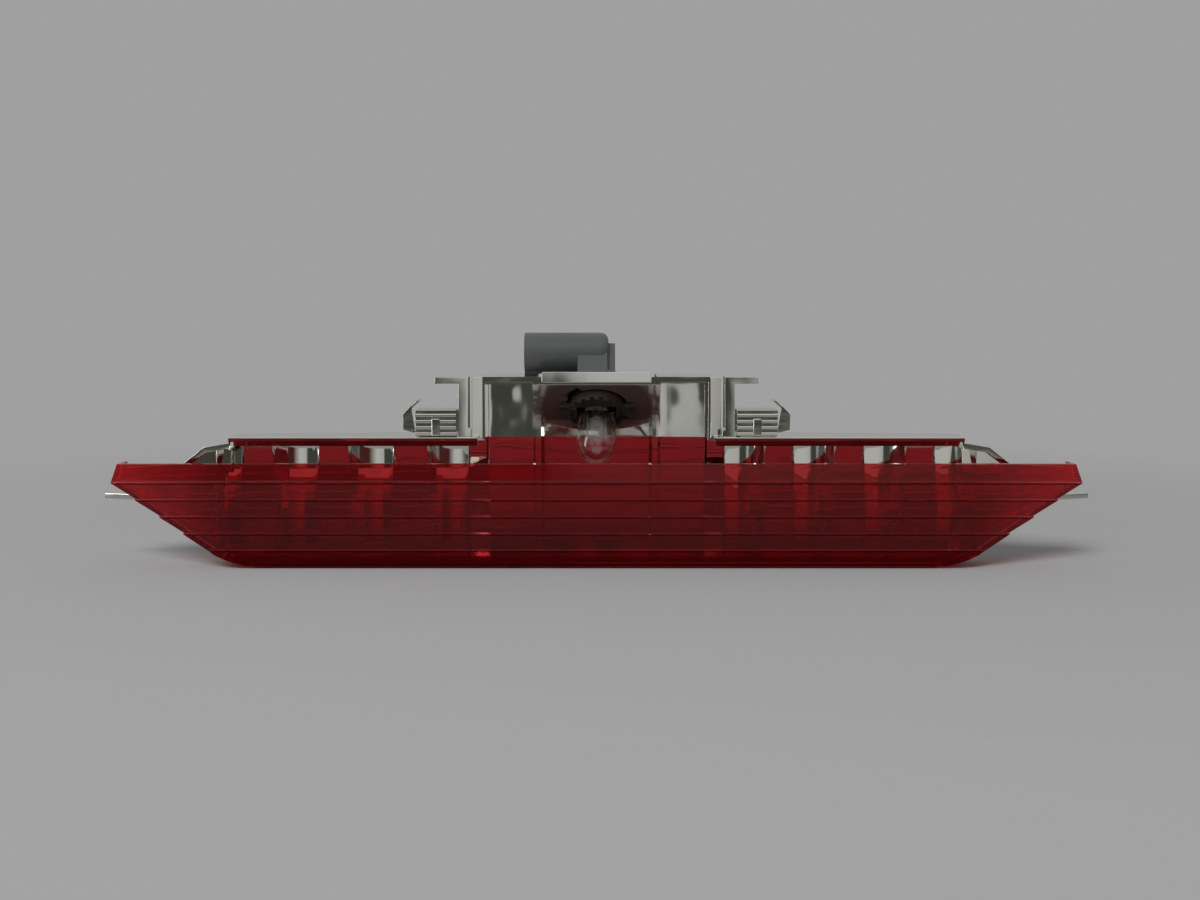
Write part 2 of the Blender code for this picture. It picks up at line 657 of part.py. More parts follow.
def make_socket():
    """Make the bulb holder: bayonet neck, flange, elbow post and connector barrel, in the seat's frame."""
    neck_radius = HOLE_RADIUS - NECK_CLEARANCE
    flange_top = FLANGE_BOTTOM + FLANGE_THICKNESS
    lug_top = -SEAT_PLATE - FIT_GAP
    body = turned([
        (0.0, flange_top), (FLANGE_RADIUS, flange_top), (FLANGE_RADIUS, FLANGE_BOTTOM),
        (neck_radius, FLANGE_BOTTOM), (neck_radius, -NECK_LENGTH), (0.0, -NECK_LENGTH),
    ])
    lugs = bayonet_bar(neck_radius + LUG_REACH, LUG_WIDTH, lug_top - LUG_THICKNESS, lug_top)
    post_low = flange_top - FLANGE_THICKNESS / 2
    post = block((-POST_LEFT, -POST_HALF_DEPTH, post_low), (POST_RIGHT, POST_HALF_DEPTH, POST_HEIGHT))
    rib = block((POST_RIGHT - HOUSING_WALL, -RIB_HALF_DEPTH, post_low), (RIB_REACH, RIB_HALF_DEPTH, RIB_TOP))
    barrel = make_barrel()
    body = join(body, lugs, post, rib, barrel)
    mouth = rod((-BARREL_REACH - CUT_MARGIN, 0, BARREL_AXIS), (-BARREL_REACH + BARREL_HOLLOW, 0, BARREL_AXIS),
                BARREL_RADIUS - BARREL_WALL)
    slot_depth = TERMINAL_OFFSET + TERMINAL_SHEET / 2 + 2 * FIT_GAP
    slot = block((-BASE_HALF_WIDTH - FIT_GAP, -slot_depth, -NECK_LENGTH - CUT_MARGIN),
                 (BASE_HALF_WIDTH + FIT_GAP, slot_depth, BASE_LENGTH + FIT_GAP))
    return cut(body, mouth, slot, terminal_shape(-1, FIT_GAP), terminal_shape(1, FIT_GAP))


def make_gasket():
    """Make the flat seal under the holder's flange."""
    outer = FLANGE_RADIUS - GASKET_MARGIN
    ring = rod((0, 0, FIT_GAP), (0, 0, GASKET_TOP), outer)
    tip = HOLE_RADIUS - NECK_CLEARANCE + FIT_GAP
    return cut(ring, rod((0, 0, -CUT_MARGIN), (0, 0, CUT_MARGIN), tip))


def bulb_profile(radius, neck, top, bottom):
    """Give the envelope's profile from its neck down to its round tip."""
    points = [(0.0, top), (neck, top), (radius, top - BULB_SHOULDER)]
    for step in range(1, ARC_STEPS + 1):
        angle = math.pi / 2 * step / ARC_STEPS
        points.append((radius * math.cos(angle), bottom + radius * (1 - math.sin(angle))))
    points[-1] = (0.0, bottom)
    points.insert(3, (radius, bottom + radius))
    return points


def make_bulb_glass():
    """Make the glass bulb: an envelope fused to a flat wedge base, with its exhaust bore."""
    top = -BULB_SEAT
    envelope = turned(bulb_profile(BULB_RADIUS, BULB_NECK_RADIUS, top, -BULB_LENGTH))
    base = block((-BASE_HALF_WIDTH, -BASE_HALF_THICKNESS, top - BULB_GLASS / 2),
                 (BASE_HALF_WIDTH, BASE_HALF_THICKNESS, BASE_LENGTH))
    cavity = turned(bulb_profile(BULB_RADIUS - BULB_GLASS, BULB_NECK_RADIUS - BULB_GLASS,
                                 top - 2 * BULB_GLASS, -BULB_LENGTH + BULB_GLASS))
    exhaust = rod((0, 0, top - 3 * BULB_GLASS), (0, 0, BASE_LENGTH + CUT_MARGIN), EXHAUST_RADIUS,
                  ROUND_STEPS // 2)
    return cut(join(envelope, base), join(cavity, exhaust))


def make_lead(side):
    """Make one lead wire from the wedge base to the filament."""
    foot = -BULB_SEAT - 2 * BULB_GLASS - FIT_GAP
    place = side * LEAD_SPREAD
    return rod((place, 0, foot), (place, 0, -FILAMENT_DEPTH - FILAMENT_RADIUS), LEAD_RADIUS, ROUND_STEPS // 4)


def make_filament():
    """Make the filament coil's outer form between the two leads."""
    end = LEAD_SPREAD - LEAD_RADIUS - FIT_GAP
    return rod((-end, 0, -FILAMENT_DEPTH), (end, 0, -FILAMENT_DEPTH), FILAMENT_RADIUS, ROUND_STEPS // 4)


def make_contact_wire(side):
    """Make the end of a lead that is folded up against one face of the wedge base."""
    place = side * CONTACT_OFFSET
    top = BASE_LENGTH - FIT_GAP
    return rod((0, place, top - CONTACT_WIRE_LENGTH), (0, place, top), LEAD_RADIUS, ROUND_STEPS // 4)


def finish(obj, name, collection, material, parent):
    """Name a sub-part, give it its material and put it under its frame."""
    obj.name = name
    obj.data.name = name
    for owner in list(obj.users_collection):
        owner.objects.unlink(obj)
    collection.objects.link(obj)
    obj.data.materials.clear()
    obj.data.materials.append(material)
    obj.data.shade_smooth()
    obj.data.set_sharp_from_angle(angle=math.radians(30.0))
    obj.parent = parent


def make_frame(name, collection, place, parent=None):
    """Add an empty that carries sub-parts."""
    empty = bpy.data.objects.new(name, None)
    collection.objects.link(empty)
    empty.matrix_local = place
    empty.parent = parent
    return empty


def main():
    """Build the lamp."""
    clear_scene()
    lamp = bpy.data.collections.new("third_brake_light")
    bpy.context.scene.collection.children.link(lamp)
    red = make_material("red_acrylic", (0.33, 0.008, 0.012), 0.12, 0.0, 0.6)
    mirror = make_material("metallised_plastic", (0.78, 0.79, 0.76), 0.08, 1.0)
    grey = make_material("grey_plastic", (0.16, 0.17, 0.17), 0.55, 0.0)
    rubber = make_material("black_rubber", (0.02, 0.02, 0.02), 0.8, 0.0)
    glass = make_material("bulb_glass", (0.95, 0.95, 0.95), 0.02, 0.0, 1.0)
    wire = make_material("nickel_wire", (0.55, 0.54, 0.52), 0.35, 1.0)
    tungsten = make_material("tungsten", (0.2, 0.2, 0.2), 0.5, 1.0)
    brass = make_material("tinned_brass", (0.72, 0.68, 0.58), 0.3, 1.0)
    spring = make_material("spring_steel", (0.62, 0.62, 0.6), 0.25, 1.0)

    stand = make_frame("stand_point", lamp, Matrix.Translation((0, -ORIGIN_DEPTH, 0)))
    seat = make_frame("holder_axis", lamp, seat_frame(), stand)
    finish(make_lens(), "lens", lamp, red, stand)
    housing = make_housing()
    reach = TAB_REACH + CUT_MARGIN
    finish(housing_section(housing, -SEAM, SEAM), "bulb_box", lamp, mirror, stand)
    finish(housing_section(housing, -reach, -SEAM - SEAM_GAP), "reflector_wing_left", lamp, mirror, stand)
    finish(housing_section(housing, SEAM + SEAM_GAP, reach), "reflector_wing_right", lamp, mirror, stand)
    bpy.data.objects.remove(housing, do_unlink=True)
    finish(make_socket(), "socket_body", lamp, grey, seat)
    finish(make_gasket(), "socket_gasket", lamp, rubber, seat)
    finish(make_bulb_glass(), "bulb_glass", lamp, glass, seat)
    finish(make_filament(), "bulb_filament", lamp, tungsten, seat)
    for side, word in ((-1, "left"), (1, "right")):
        finish(make_lead(side), f"bulb_lead_{word}", lamp, wire, seat)
        finish(make_hook(side), f"panel_hook_{word}", lamp, mirror, stand)
        finish(make_clip(side), f"clip_{word}", lamp, spring, stand)
        root = Matrix.Translation((side * LEG_ROOT, BOSS_DEPTH + BOSS_LENGTH / 2, ROOF_Z + LEG_ROOT_Z))
        hinge = make_frame(f"clip_leg_axis_{word}", lamp, root, stand)
        finish(make_clip_leg(side), f"clip_leg_{word}", lamp, spring, hinge)
    for side, word in ((-1, "front"), (1, "back")):
        finish(make_contact_wire(side), f"bulb_contact_{word}", lamp, wire, seat)
        finish(terminal_shape(side, 0.0), f"terminal_{word}", lamp, brass, seat)


main()
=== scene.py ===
"""Dresses the third brake light: red acrylic lens, metallised reflector, wedge bulb, holder and spring clips."""

import json
import logging
import math
from dataclasses import dataclass
from enum import Enum
from typing import Any, Callable, Dict, List, Optional, Sequence, Tuple

import bmesh
import bpy
from mathutils import Matrix, Vector


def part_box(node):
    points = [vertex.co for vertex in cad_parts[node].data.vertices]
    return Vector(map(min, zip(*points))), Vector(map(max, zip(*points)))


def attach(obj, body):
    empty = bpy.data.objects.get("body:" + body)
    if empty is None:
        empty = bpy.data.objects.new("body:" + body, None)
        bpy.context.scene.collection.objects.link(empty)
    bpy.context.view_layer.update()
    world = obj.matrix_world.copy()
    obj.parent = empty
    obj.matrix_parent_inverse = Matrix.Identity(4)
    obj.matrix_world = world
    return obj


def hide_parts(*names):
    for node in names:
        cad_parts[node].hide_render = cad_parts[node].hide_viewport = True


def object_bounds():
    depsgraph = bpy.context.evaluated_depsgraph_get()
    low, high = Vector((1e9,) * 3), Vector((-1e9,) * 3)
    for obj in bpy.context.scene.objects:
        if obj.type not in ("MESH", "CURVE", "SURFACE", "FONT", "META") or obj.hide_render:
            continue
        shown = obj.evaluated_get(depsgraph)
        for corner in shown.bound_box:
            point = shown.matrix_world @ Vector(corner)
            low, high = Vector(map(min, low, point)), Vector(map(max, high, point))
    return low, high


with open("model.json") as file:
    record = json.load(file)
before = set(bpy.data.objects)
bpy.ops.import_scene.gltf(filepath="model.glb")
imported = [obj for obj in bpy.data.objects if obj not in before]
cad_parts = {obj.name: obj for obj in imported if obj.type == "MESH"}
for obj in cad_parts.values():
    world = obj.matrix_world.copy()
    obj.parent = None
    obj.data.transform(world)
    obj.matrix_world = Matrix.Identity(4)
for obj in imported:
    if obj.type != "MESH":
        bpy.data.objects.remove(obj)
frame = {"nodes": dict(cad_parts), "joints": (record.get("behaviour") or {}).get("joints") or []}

LOG = logging.getLogger("third_brake_light")
MM = 0.001
CAD_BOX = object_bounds()
Point = Tuple[float, float, float]
Socket = bpy.types.NodeSocket
Tree = bpy.types.NodeTree
Piece = bpy.types.Object


def srgb(code: str) -> Tuple[float, float, float, float]:
    """Turn an sRGB hex code into linear colour.

    Args:
        code: six hex digits.

    Returns:
        Linear red, green, blue and an alpha of 1.
    """
    def linear(value: float) -> float:
        """Undo the sRGB curve of one channel."""
        return value / 12.92 if value <= 0.04045 else ((value + 0.055) / 1.055) ** 2.4

    red, green, blue = (linear(int(code[i:i + 2], 16) / 255.0) for i in (0, 2, 4))
    return (red, green, blue, 1.0)


def add_node(tree: Tree, kind: str, links: Optional[Dict[Any, Socket]] = None,
             values: Optional[Dict[Any, Any]] = None, **settings: Any) -> bpy.types.Node:
    """Add a node with its settings, socket values and incoming links.

    Args:
        tree: the node tree.
        kind: the node's type name.
        links: output sockets by the input name or index that they feed.
        values: constant values by input name or index.
        settings: attributes of the node.

    Returns:
        The new node.
    """
    node = tree.nodes.new(kind)
    for key, value in settings.items():
        setattr(node, key, value)
    for key, value in (values or {}).items():
        node.inputs[key].default_value = value
    for key, source in (links or {}).items():
        tree.links.new(source, node.inputs[key])
    return node


def noise(tree: Tree, place: Socket, millimetres: float, detail: float = 3.0) -> Socket:
    """Add a noise whose features are that many millimetres wide and give its value."""
    scale = 1.0 / (millimetres * MM)
    node = add_node(tree, "ShaderNodeTexNoise", {"Vector": place}, {"Scale": scale, "Detail": detail})
    return node.outputs["Fac"]


def span(tree: Tree, value: Socket, start: float, end: float, low: float, high: float) -> Socket:
    """Map a value that runs from start to end onto the range from low to high."""
    node = add_node(tree, "ShaderNodeMapRange", {"Value": value},
                    {"From Min": start, "From Max": end, "To Min": low, "To Max": high})
    return node.outputs["Result"]


def bump(tree: Tree, height: Socket, strength: float, millimetres: float) -> Socket:
    """Add a bump of a real height and give its normal."""
    node = add_node(tree, "ShaderNodeBump", {"Height": height}, {"Strength": strength, "Distance": millimetres * MM})
    return node.outputs["Normal"]


def blend(tree: Tree, factor: Socket, first: str, second: str) -> Socket:
    """Mix two sRGB colours by a factor and give the colour."""
    node = add_node(tree, "ShaderNodeMix", {"Factor": factor}, data_type="RGBA")
    node.inputs[6].default_value = srgb(first)
    node.inputs[7].default_value = srgb(second)
    return node.outputs[2]


class Rounding(Enum):
    """How far an edge is rounded, in millimetres."""

    STAMPED = 0.12
    MOULDED = 0.25
    SOFT = 0.5


@dataclass(frozen=True)
class Finish:
    """A surface finish: a Principled shader whose pattern a subclass draws."""

    name: str = "plain"
    colour: str = "808080"
    roughness: float = 0.5
    metallic: float = 0.0
    ior: float = 1.5
    transmission: float = 0.0

    def material(self) -> bpy.types.Material:
        """Make or fetch the material of this finish."""
        known = bpy.data.materials.get(self.name)
        if known is not None:
            return known
        material = bpy.data.materials.new(self.name)
        material.use_nodes = True
        material.diffuse_color = srgb(self.colour)
        tree = material.node_tree
        shader = tree.nodes["Principled BSDF"]
        shader.inputs["Base Color"].default_value = srgb(self.colour)
        shader.inputs["Roughness"].default_value = self.roughness
        shader.inputs["Metallic"].default_value = self.metallic
        shader.inputs["Transmission Weight"].default_value = self.transmission
        if self.metallic == 0.0:
            shader.inputs["IOR"].default_value = self.ior
        self.pattern(tree, shader.inputs, add_node(tree, "ShaderNodeTexCoord").outputs["Object"])
        return material

    def pattern(self, tree: Tree, shader: Any, place: Socket) -> None:
        """Draw the finish's pattern; a plain finish has none."""


@dataclass(frozen=True)
class RedAcrylic(Finish):
    """Injection-moulded red PMMA: clear, glossy and deep red, with faint flow waves and fine rub marks."""

    name: str = "moulded_red_pmma"
    colour: str = "c8363c"
    edge: str = "84141a"
    light: str = "c04848"
    roughness: float = 0.03
    ior: float = 1.3
    transmission: float = 0.95
    end_transmission: float = 0.78
    end_near: float = 140 * MM
    end_far: float = 185 * MM
    keel_thick: float = 26 * MM
    keel_haze: float = 10 * MM
    keel_transmission: float = 0.86
    end_thick: float = 2.5 * MM
    end_slope: Point = (-0.588, 0.0, 0.809)
    end_reach: float = 79.6 * MM
    first_step: float = 6.9 * MM
    step_pitch: float = 6.375 * MM
    last_step: float = 36 * MM
    # Painted step lines: a dark line of painted shade and a bright line of painted highlight along each moulded step.
    step_shade: float = 0.5 * MM
    step_glint: float = 0.4 * MM
    shade: str = "5c1014"
    glint: str = "f06c70"

    def pattern(self, tree: Tree, shader: Any, place: Socket) -> None:
        """Deepen the colour along the keel and the ends, paint a shade line and a highlight line at each step, vary
        the gloss and let red light through to the table.
        """
        half = add_node(tree, "ShaderNodeVectorMath", {0: place}, operation="ABSOLUTE").outputs[0]
        slope = add_node(tree, "ShaderNodeVectorMath", {0: half}, {1: self.end_slope}, operation="DOT_PRODUCT")
        ends = add_node(tree, "ShaderNodeMath", {0: slope.outputs["Value"]}, {1: self.end_reach}, operation="ADD")
        keel = add_node(tree, "ShaderNodeSeparateXYZ", {0: place}).outputs["Z"]
        depth = add_node(tree, "ShaderNodeMath", {
            0: span(tree, ends.outputs[0], 0.0, self.end_thick, 0.0, 1.0),
            1: span(tree, keel, 0.0, self.keel_thick, 0.0, 1.0)}, operation="MINIMUM").outputs[0]
        colour = blend(tree, depth, self.edge, self.colour)
        # Paint light and shade at the steps: a painted shade line under each step's edge and a painted highlight line
        # just above it.
        raised = add_node(tree, "ShaderNodeMath", {0: keel}, {1: self.first_step - self.step_shade}, operation="SUBTRACT")
        step = add_node(tree, "ShaderNodeMath", {0: raised.outputs[0]}, {1: self.step_pitch}, operation="FLOORED_MODULO")
        soft = 0.1 * MM
        glint_end = self.step_shade + self.step_glint
        shaded = span(tree, step.outputs[0], self.step_shade - soft, self.step_shade, 1.0, 0.0)
        lit = add_node(tree, "ShaderNodeMath", {
            0: span(tree, step.outputs[0], self.step_shade, self.step_shade + soft, 0.0, 1.0),
            1: span(tree, step.outputs[0], glint_end, glint_end + soft, 1.0, 0.0)}, operation="MULTIPLY").outputs[0]
        below = span(tree, keel, self.last_step, self.last_step + soft, 1.0, 0.0)
        shaded, lit = (add_node(tree, "ShaderNodeMath", {0: line, 1: below}, operation="MULTIPLY").outputs[0]
                       for line in (shaded, lit))
        for share, tone in ((shaded, self.shade), (lit, self.glint)):
            mix = add_node(tree, "ShaderNodeMix", {"Factor": share, 6: colour}, data_type="RGBA")
            mix.inputs[7].default_value = srgb(tone)
            colour = mix.outputs[2]
        tree.links.new(colour, shader["Base Color"])
        # The painted lines and the keel get an IOR near 1, so that they show no reflection of their own.
        line = add_node(tree, "ShaderNodeMath", {0: shaded, 1: lit}, operation="ADD").outputs[0]
        line = add_node(tree, "ShaderNodeMath", {
            0: line, 1: span(tree, keel, self.first_step, self.first_step + soft, 1.0, 0.0)}, operation="MAXIMUM").outputs[0]
        tree.links.new(span(tree, line, 0.0, 1.0, self.ior, 1.06), shader["IOR"])
        along = add_node(tree, "ShaderNodeSeparateXYZ", {0: half}).outputs["X"]
        clear = add_node(tree, "ShaderNodeMath", {
            0: span(tree, along, self.end_near, self.end_far, self.transmission, self.end_transmission),
            1: span(tree, keel, 0.0, self.keel_haze, self.keel_transmission, self.transmission)},
            operation="MINIMUM").outputs[0]
        tree.links.new(clear, shader["Transmission Weight"])
        shadow = add_node(tree, "ShaderNodeLightPath").outputs["Is Shadow Ray"]
        passed = add_node(tree, "ShaderNodeBsdfTransparent", values={"Color": srgb(self.light)})
        solid = tree.nodes["Principled BSDF"].outputs[0]
        mix = add_node(tree, "ShaderNodeMixShader", {0: shadow, 1: solid, 2: passed.outputs[0]})
        tree.links.new(mix.outputs[0], tree.nodes["Material Output"].inputs["Surface"])
        tree.links.new(span(tree, noise(tree, place, 9.0), 0.3, 0.7, 0.03, 0.1), shader["Roughness"])
        tree.links.new(bump(tree, noise(tree, place, 7.0, 1.0), 0.15, 0.15), shader["Normal"])


@dataclass(frozen=True)
class MetallisedPlastic(Finish):
    """Vacuum-metallised ABS: a thin aluminium mirror over moulded waves, slightly hazed in patches."""

    name: str = "vacuum_metallised_abs"
    colour: str = "e4e4de"
    # Painted shade round the bulb: the tone and metallic share it takes, and the reach of the darkened patch.
    shade_tone: str = "6e5a55"
    shade_metallic: float = 0.35
    roughness: float = 0.05
    metallic: float = 1.0
    bulb: Point = (0.0, -4.5 * MM, 47.8 * MM)
    shade_near: float = 25 * MM
    shade_far: float = 34 * MM
    shade_low: float = 49.5 * MM
    shade_high: float = 53.5 * MM
    shade_lip: float = 68 * MM
    shade_half: float = 24.4 * MM
    wave_from: float = 23 * MM
    wave_full: float = 25 * MM
    wave_in: float = 41.5 * MM
    wave_out: float = 43 * MM

    def pattern(self, tree: Tree, shader: Any, place: Socket) -> None:
        """Darken the coat round the bulb with painted shade, haze it in patches and let sink waves bend reflections.
        """
        # Painted shade: inside the bulb chamber the mirror turns dark brown and less metallic, standing in for the
        # chamber's shade and dark reflections.
        away = add_node(tree, "ShaderNodeVectorMath", {0: place}, {1: self.bulb}, operation="DISTANCE")
        shaded_share = span(tree, away.outputs["Value"], self.shade_near, self.shade_far, 1.0, 0.0)
        height = add_node(tree, "ShaderNodeSeparateXYZ", {0: place}).outputs["Z"]
        half = add_node(tree, "ShaderNodeVectorMath", {0: place}, operation="ABSOLUTE").outputs[0]
        across = add_node(tree, "ShaderNodeSeparateXYZ", {0: half}).outputs["X"]
        for share in (span(tree, across, self.shade_half, self.shade_half + MM, 1.0, 0.0),
                      span(tree, height, self.shade_low, self.shade_high, 0.0, 1.0),
                      span(tree, height, self.shade_lip, self.shade_lip + 0.5 * MM, 1.0, 0.0)):
            shaded_share = add_node(tree, "ShaderNodeMath", {0: shaded_share, 1: share}, operation="MULTIPLY").outputs[0]
        tree.links.new(blend(tree, shaded_share, self.colour, self.shade_tone), shader["Base Color"])
        tree.links.new(span(tree, shaded_share, 0.0, 1.0, self.metallic, self.shade_metallic), shader["Metallic"])
        tree.links.new(span(tree, noise(tree, place, 10.0), 0.3, 0.7, 0.02, 0.1), shader["Roughness"])
        wavy = add_node(tree, "ShaderNodeMath", {
            0: span(tree, across, self.wave_in, self.wave_out, 0.5, 0.1),
            1: span(tree, across, self.wave_from, self.wave_full, 0.1, 0.5)}, operation="MINIMUM").outputs[0]
        waves = add_node(tree, "ShaderNodeBump", {"Height": noise(tree, place, 14.0, 1.0), "Strength": wavy},
                         {"Distance": 0.7 * MM})
        tree.links.new(waves.outputs["Normal"], shader["Normal"])


@dataclass(frozen=True)
class GreyPlastic(Finish):
    """Moulded glass-filled PBT: mid grey and satin, darkened with painted shade below the seat, where the bulb sits
    in its chamber.
    """

    name: str = "moulded_grey_pbt"
    colour: str = "414343"
    roughness: float = 0.45
    ior: float = 1.55
    shade_low: float = 67 * MM
    shade_high: float = 72 * MM

    def pattern(self, tree: Tree, shader: Any, place: Socket) -> None:
        """Mottle the colour with the filler and darken it below the seat with painted shade."""
        mottle = noise(tree, place, 3.0)
        clean = blend(tree, mottle, "3b3d3d", "464848")
        height = add_node(tree, "ShaderNodeSeparateXYZ", {"Vector": place}).outputs["Z"]
        # Painted shade: below the seat, inside the bulb chamber, the colour turns near black.
        unshaded_share = span(tree, height, self.shade_low, self.shade_high, 0.0, 1.0)
        mix = add_node(tree, "ShaderNodeMix", {"Factor": unshaded_share, 7: clean}, data_type="RGBA")
        mix.inputs[6].default_value = srgb("1a1310")
        tree.links.new(mix.outputs[2], shader["Base Color"])
        tree.links.new(span(tree, mottle, 0.3, 0.7, 0.38, 0.55), shader["Roughness"])
        tree.links.new(bump(tree, noise(tree, place, 0.6), 0.25, 0.05), shader["Normal"])


@dataclass(frozen=True)
class BlackRubber(Finish):
    """Moulded EPDM rubber: near black and matte, with a faint grey bloom."""

    name: str = "moulded_epdm_rubber"
    colour: str = "1e1d1c"
    roughness: float = 0.8

    def pattern(self, tree: Tree, shader: Any, place: Socket) -> None:
        """Vary the matte surface with the bloom."""
        tree.links.new(span(tree, noise(tree, place, 2.0), 0.3, 0.7, 0.65, 0.9), shader["Roughness"])
        tree.links.new(bump(tree, noise(tree, place, 0.6), 0.3, 0.05), shader["Normal"])


@dataclass(frozen=True)
class BulbGlass(Finish):
    """Blown soda-lime glass: clear, with the slight thickness waves of blowing that bend what is behind."""

    name: str = "blown_soda_lime_glass"
    colour: str = "f4f6f4"
    roughness: float = 0.0
    ior: float = 1.06
    transmission: float = 1.0
    wall_ior: float = 1.52

    def pattern(self, tree: Tree, shader: Any, place: Socket) -> None:
        """Ripple the thin wall, which hardly bends light but shines as glass does."""
        shader["Coat Weight"].default_value = 1.0
        shader["Coat Roughness"].default_value = 0.0
        shader["Coat IOR"].default_value = self.wall_ior
        tree.links.new(bump(tree, noise(tree, place, 5.0, 1.0), 0.15, 0.1), shader["Normal"])


@dataclass(frozen=True)
class SheetMetal(Finish):
    """Stamped strip or drawn wire: bright metal with rolling streaks along X and mottled plating."""

    name: str = "zinc_plated_spring_steel"
    colour: str = "c4c3bc"
    roughness: float = 0.1
    metallic: float = 1.0
    streak: float = 1.5

    def pattern(self, tree: Tree, shader: Any, place: Socket) -> None:
        """Streak the gloss along the strip and mottle the plating."""
        drawn = add_node(tree, "ShaderNodeMapping", {"Vector": place}, {"Scale": (0.2, 1.0, 1.0)})
        streaks = noise(tree, drawn.outputs["Vector"], self.streak)
        low = max(self.roughness - 0.1, 0.05)
        tree.links.new(span(tree, streaks, 0.3, 0.7, low, self.roughness + 0.12), shader["Roughness"])
        tree.links.new(bump(tree, streaks, 0.2, 0.05), shader["Normal"])


RED = RedAcrylic()
MIRROR = MetallisedPlastic()
GREY = GreyPlastic()
RUBBER = BlackRubber()
GLASS = BulbGlass()
STEEL = SheetMetal()
WIRE = SheetMetal("drawn_nickel_iron_wire", "a09d97", 0.35)
TUNGSTEN = SheetMetal("drawn_tungsten", "6b6b6d", 0.4)
BRASS = SheetMetal("stamped_tinned_brass", "cbbf9d", 0.3)


def new_piece(name: str, mesh: bpy.types.Mesh) -> Piece:
    """Put a mesh in the scene as a piece at the origin."""
    piece = bpy.data.objects.new(name, mesh)
    bpy.context.scene.collection.objects.link(piece)
    return piece


def tidy_copy(name: str, nodes: Sequence[str], seams: Sequence[float] = (), levels: Sequence[float] = (),
              columns: Sequence[float] = ()) -> Piece:
    """Copy CAD nodes as one welded mesh of flat faces.

    Args:
        name: the new piece's name.
        nodes: the CAD nodes' names.
        seams: places along X where two nodes meet and their end faces go.
        levels: heights at which every wall gets an edge.
        columns: places along X at which every wall gets an edge.

    Returns:
        The new piece.
    """
    shape = bmesh.new()
    for node in nodes:
        shape.from_mesh(frame["nodes"][node].data)
    near = 0.03 * MM
    inner = [face for face in shape.faces if any(
        all(abs(vert.co.x - seam) < near for vert in face.verts) for seam in seams)]
    bmesh.ops.delete(shape, geom=inner, context="FACES")
    bmesh.ops.remove_doubles(shape, verts=shape.verts, dist=near)
    bmesh.ops.dissolve_limit(shape, angle_limit=math.radians(0.4), verts=shape.verts, edges=shape.edges)
    planes = [((0, 0, level), (0, 0, 1)) for level in levels] + [((x, 0, 0), (1, 0, 0)) for x in columns]
    for spot, way in planes:
        parts = list(shape.verts) + list(shape.edges) + list(shape.faces)
        bmesh.ops.bisect_plane(shape, geom=parts, plane_co=spot, plane_no=way)
    mesh = bpy.data.meshes.new(name)
    shape.to_mesh(mesh)
    shape.free()
    return new_piece(name, mesh)


def plain_mesh(piece: Piece) -> None:
    """Turn a piece with modifiers into a plain mesh."""
    bpy.context.view_layer.update()
    ready = piece.evaluated_get(bpy.context.evaluated_depsgraph_get())
    mesh = bpy.data.meshes.new_from_object(ready)
    piece.modifiers.clear()
    piece.data = mesh


def round_edges(piece: Piece, rounding: Rounding, angle: float = 28.0) -> None:
    """Round a piece's sharp edges and keep the faces between them flat to the eye."""
    bevel = piece.modifiers.new("rounding", "BEVEL")
    bevel.width = rounding.value * MM
    bevel.segments = 2
    bevel.limit_method = "ANGLE"
    bevel.angle_limit = math.radians(angle)
    bevel.use_clamp_overlap = False
    flat = piece.modifiers.new("flat_faces", "WEIGHTED_NORMAL")
    flat.weight = 100
    flat.keep_sharp = True
    piece.data.shade_smooth()
    plain_mesh(piece)


def dress(piece: Piece, finish: Finish, body: str, nodes: Sequence[str] = ()) -> None:
    """Give a piece its finish and body, and let it stand for CAD nodes."""
    piece.data.materials.clear()
    piece.data.materials.append(finish.material())
    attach(piece, body)
    if nodes:
        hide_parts(*nodes)
    LOG.info("%s: %d faces on %s", piece.name, len(piece.data.polygons), body)


def keep_node(node: str, finish: Finish) -> None:
    """Show a CAD node as it is, in a finish."""
    mesh = frame["nodes"][node].data
    mesh.materials.clear()
    mesh.materials.append(finish.material())
    LOG.info("%s: kept", node)


def place(mesh: bpy.types.Mesh, matrix: Matrix) -> None:
    """Move a mesh's points."""
    mesh.transform(matrix)


def box_mesh(name: str, low: Point, high: Point) -> Piece:
    """Make a block between two corners."""
    shape = bmesh.new()
    size = Vector(high) - Vector(low)
    middle = (Vector(high) + Vector(low)) / 2
    bmesh.ops.create_cube(shape, size=1.0, matrix=Matrix.Translation(middle) @ Matrix.Diagonal((*size, 1.0)))
    mesh = bpy.data.meshes.new(name)
    shape.to_mesh(mesh)
    shape.free()
    return new_piece(name, mesh)


def plate(name: str, outline: Sequence[Tuple[float, float]], front: float, back: float) -> Piece:
    """Make a flat plate from an outline in X and Z between two places along Y."""
    shape = bmesh.new()
    rows = [[shape.verts.new((u, y, v)) for u, v in outline] for y in (front, back)]
    count = len(outline)
    shape.faces.new(rows[0])
    shape.faces.new(rows[1][::-1])
    for index in range(count):
        after = (index + 1) % count
        shape.faces.new((rows[0][index], rows[1][index], rows[1][after], rows[0][after]))
    bmesh.ops.recalc_face_normals(shape, faces=shape.faces)
    mesh = bpy.data.meshes.new(name)
    shape.to_mesh(mesh)
    shape.free()
    return new_piece(name, mesh)


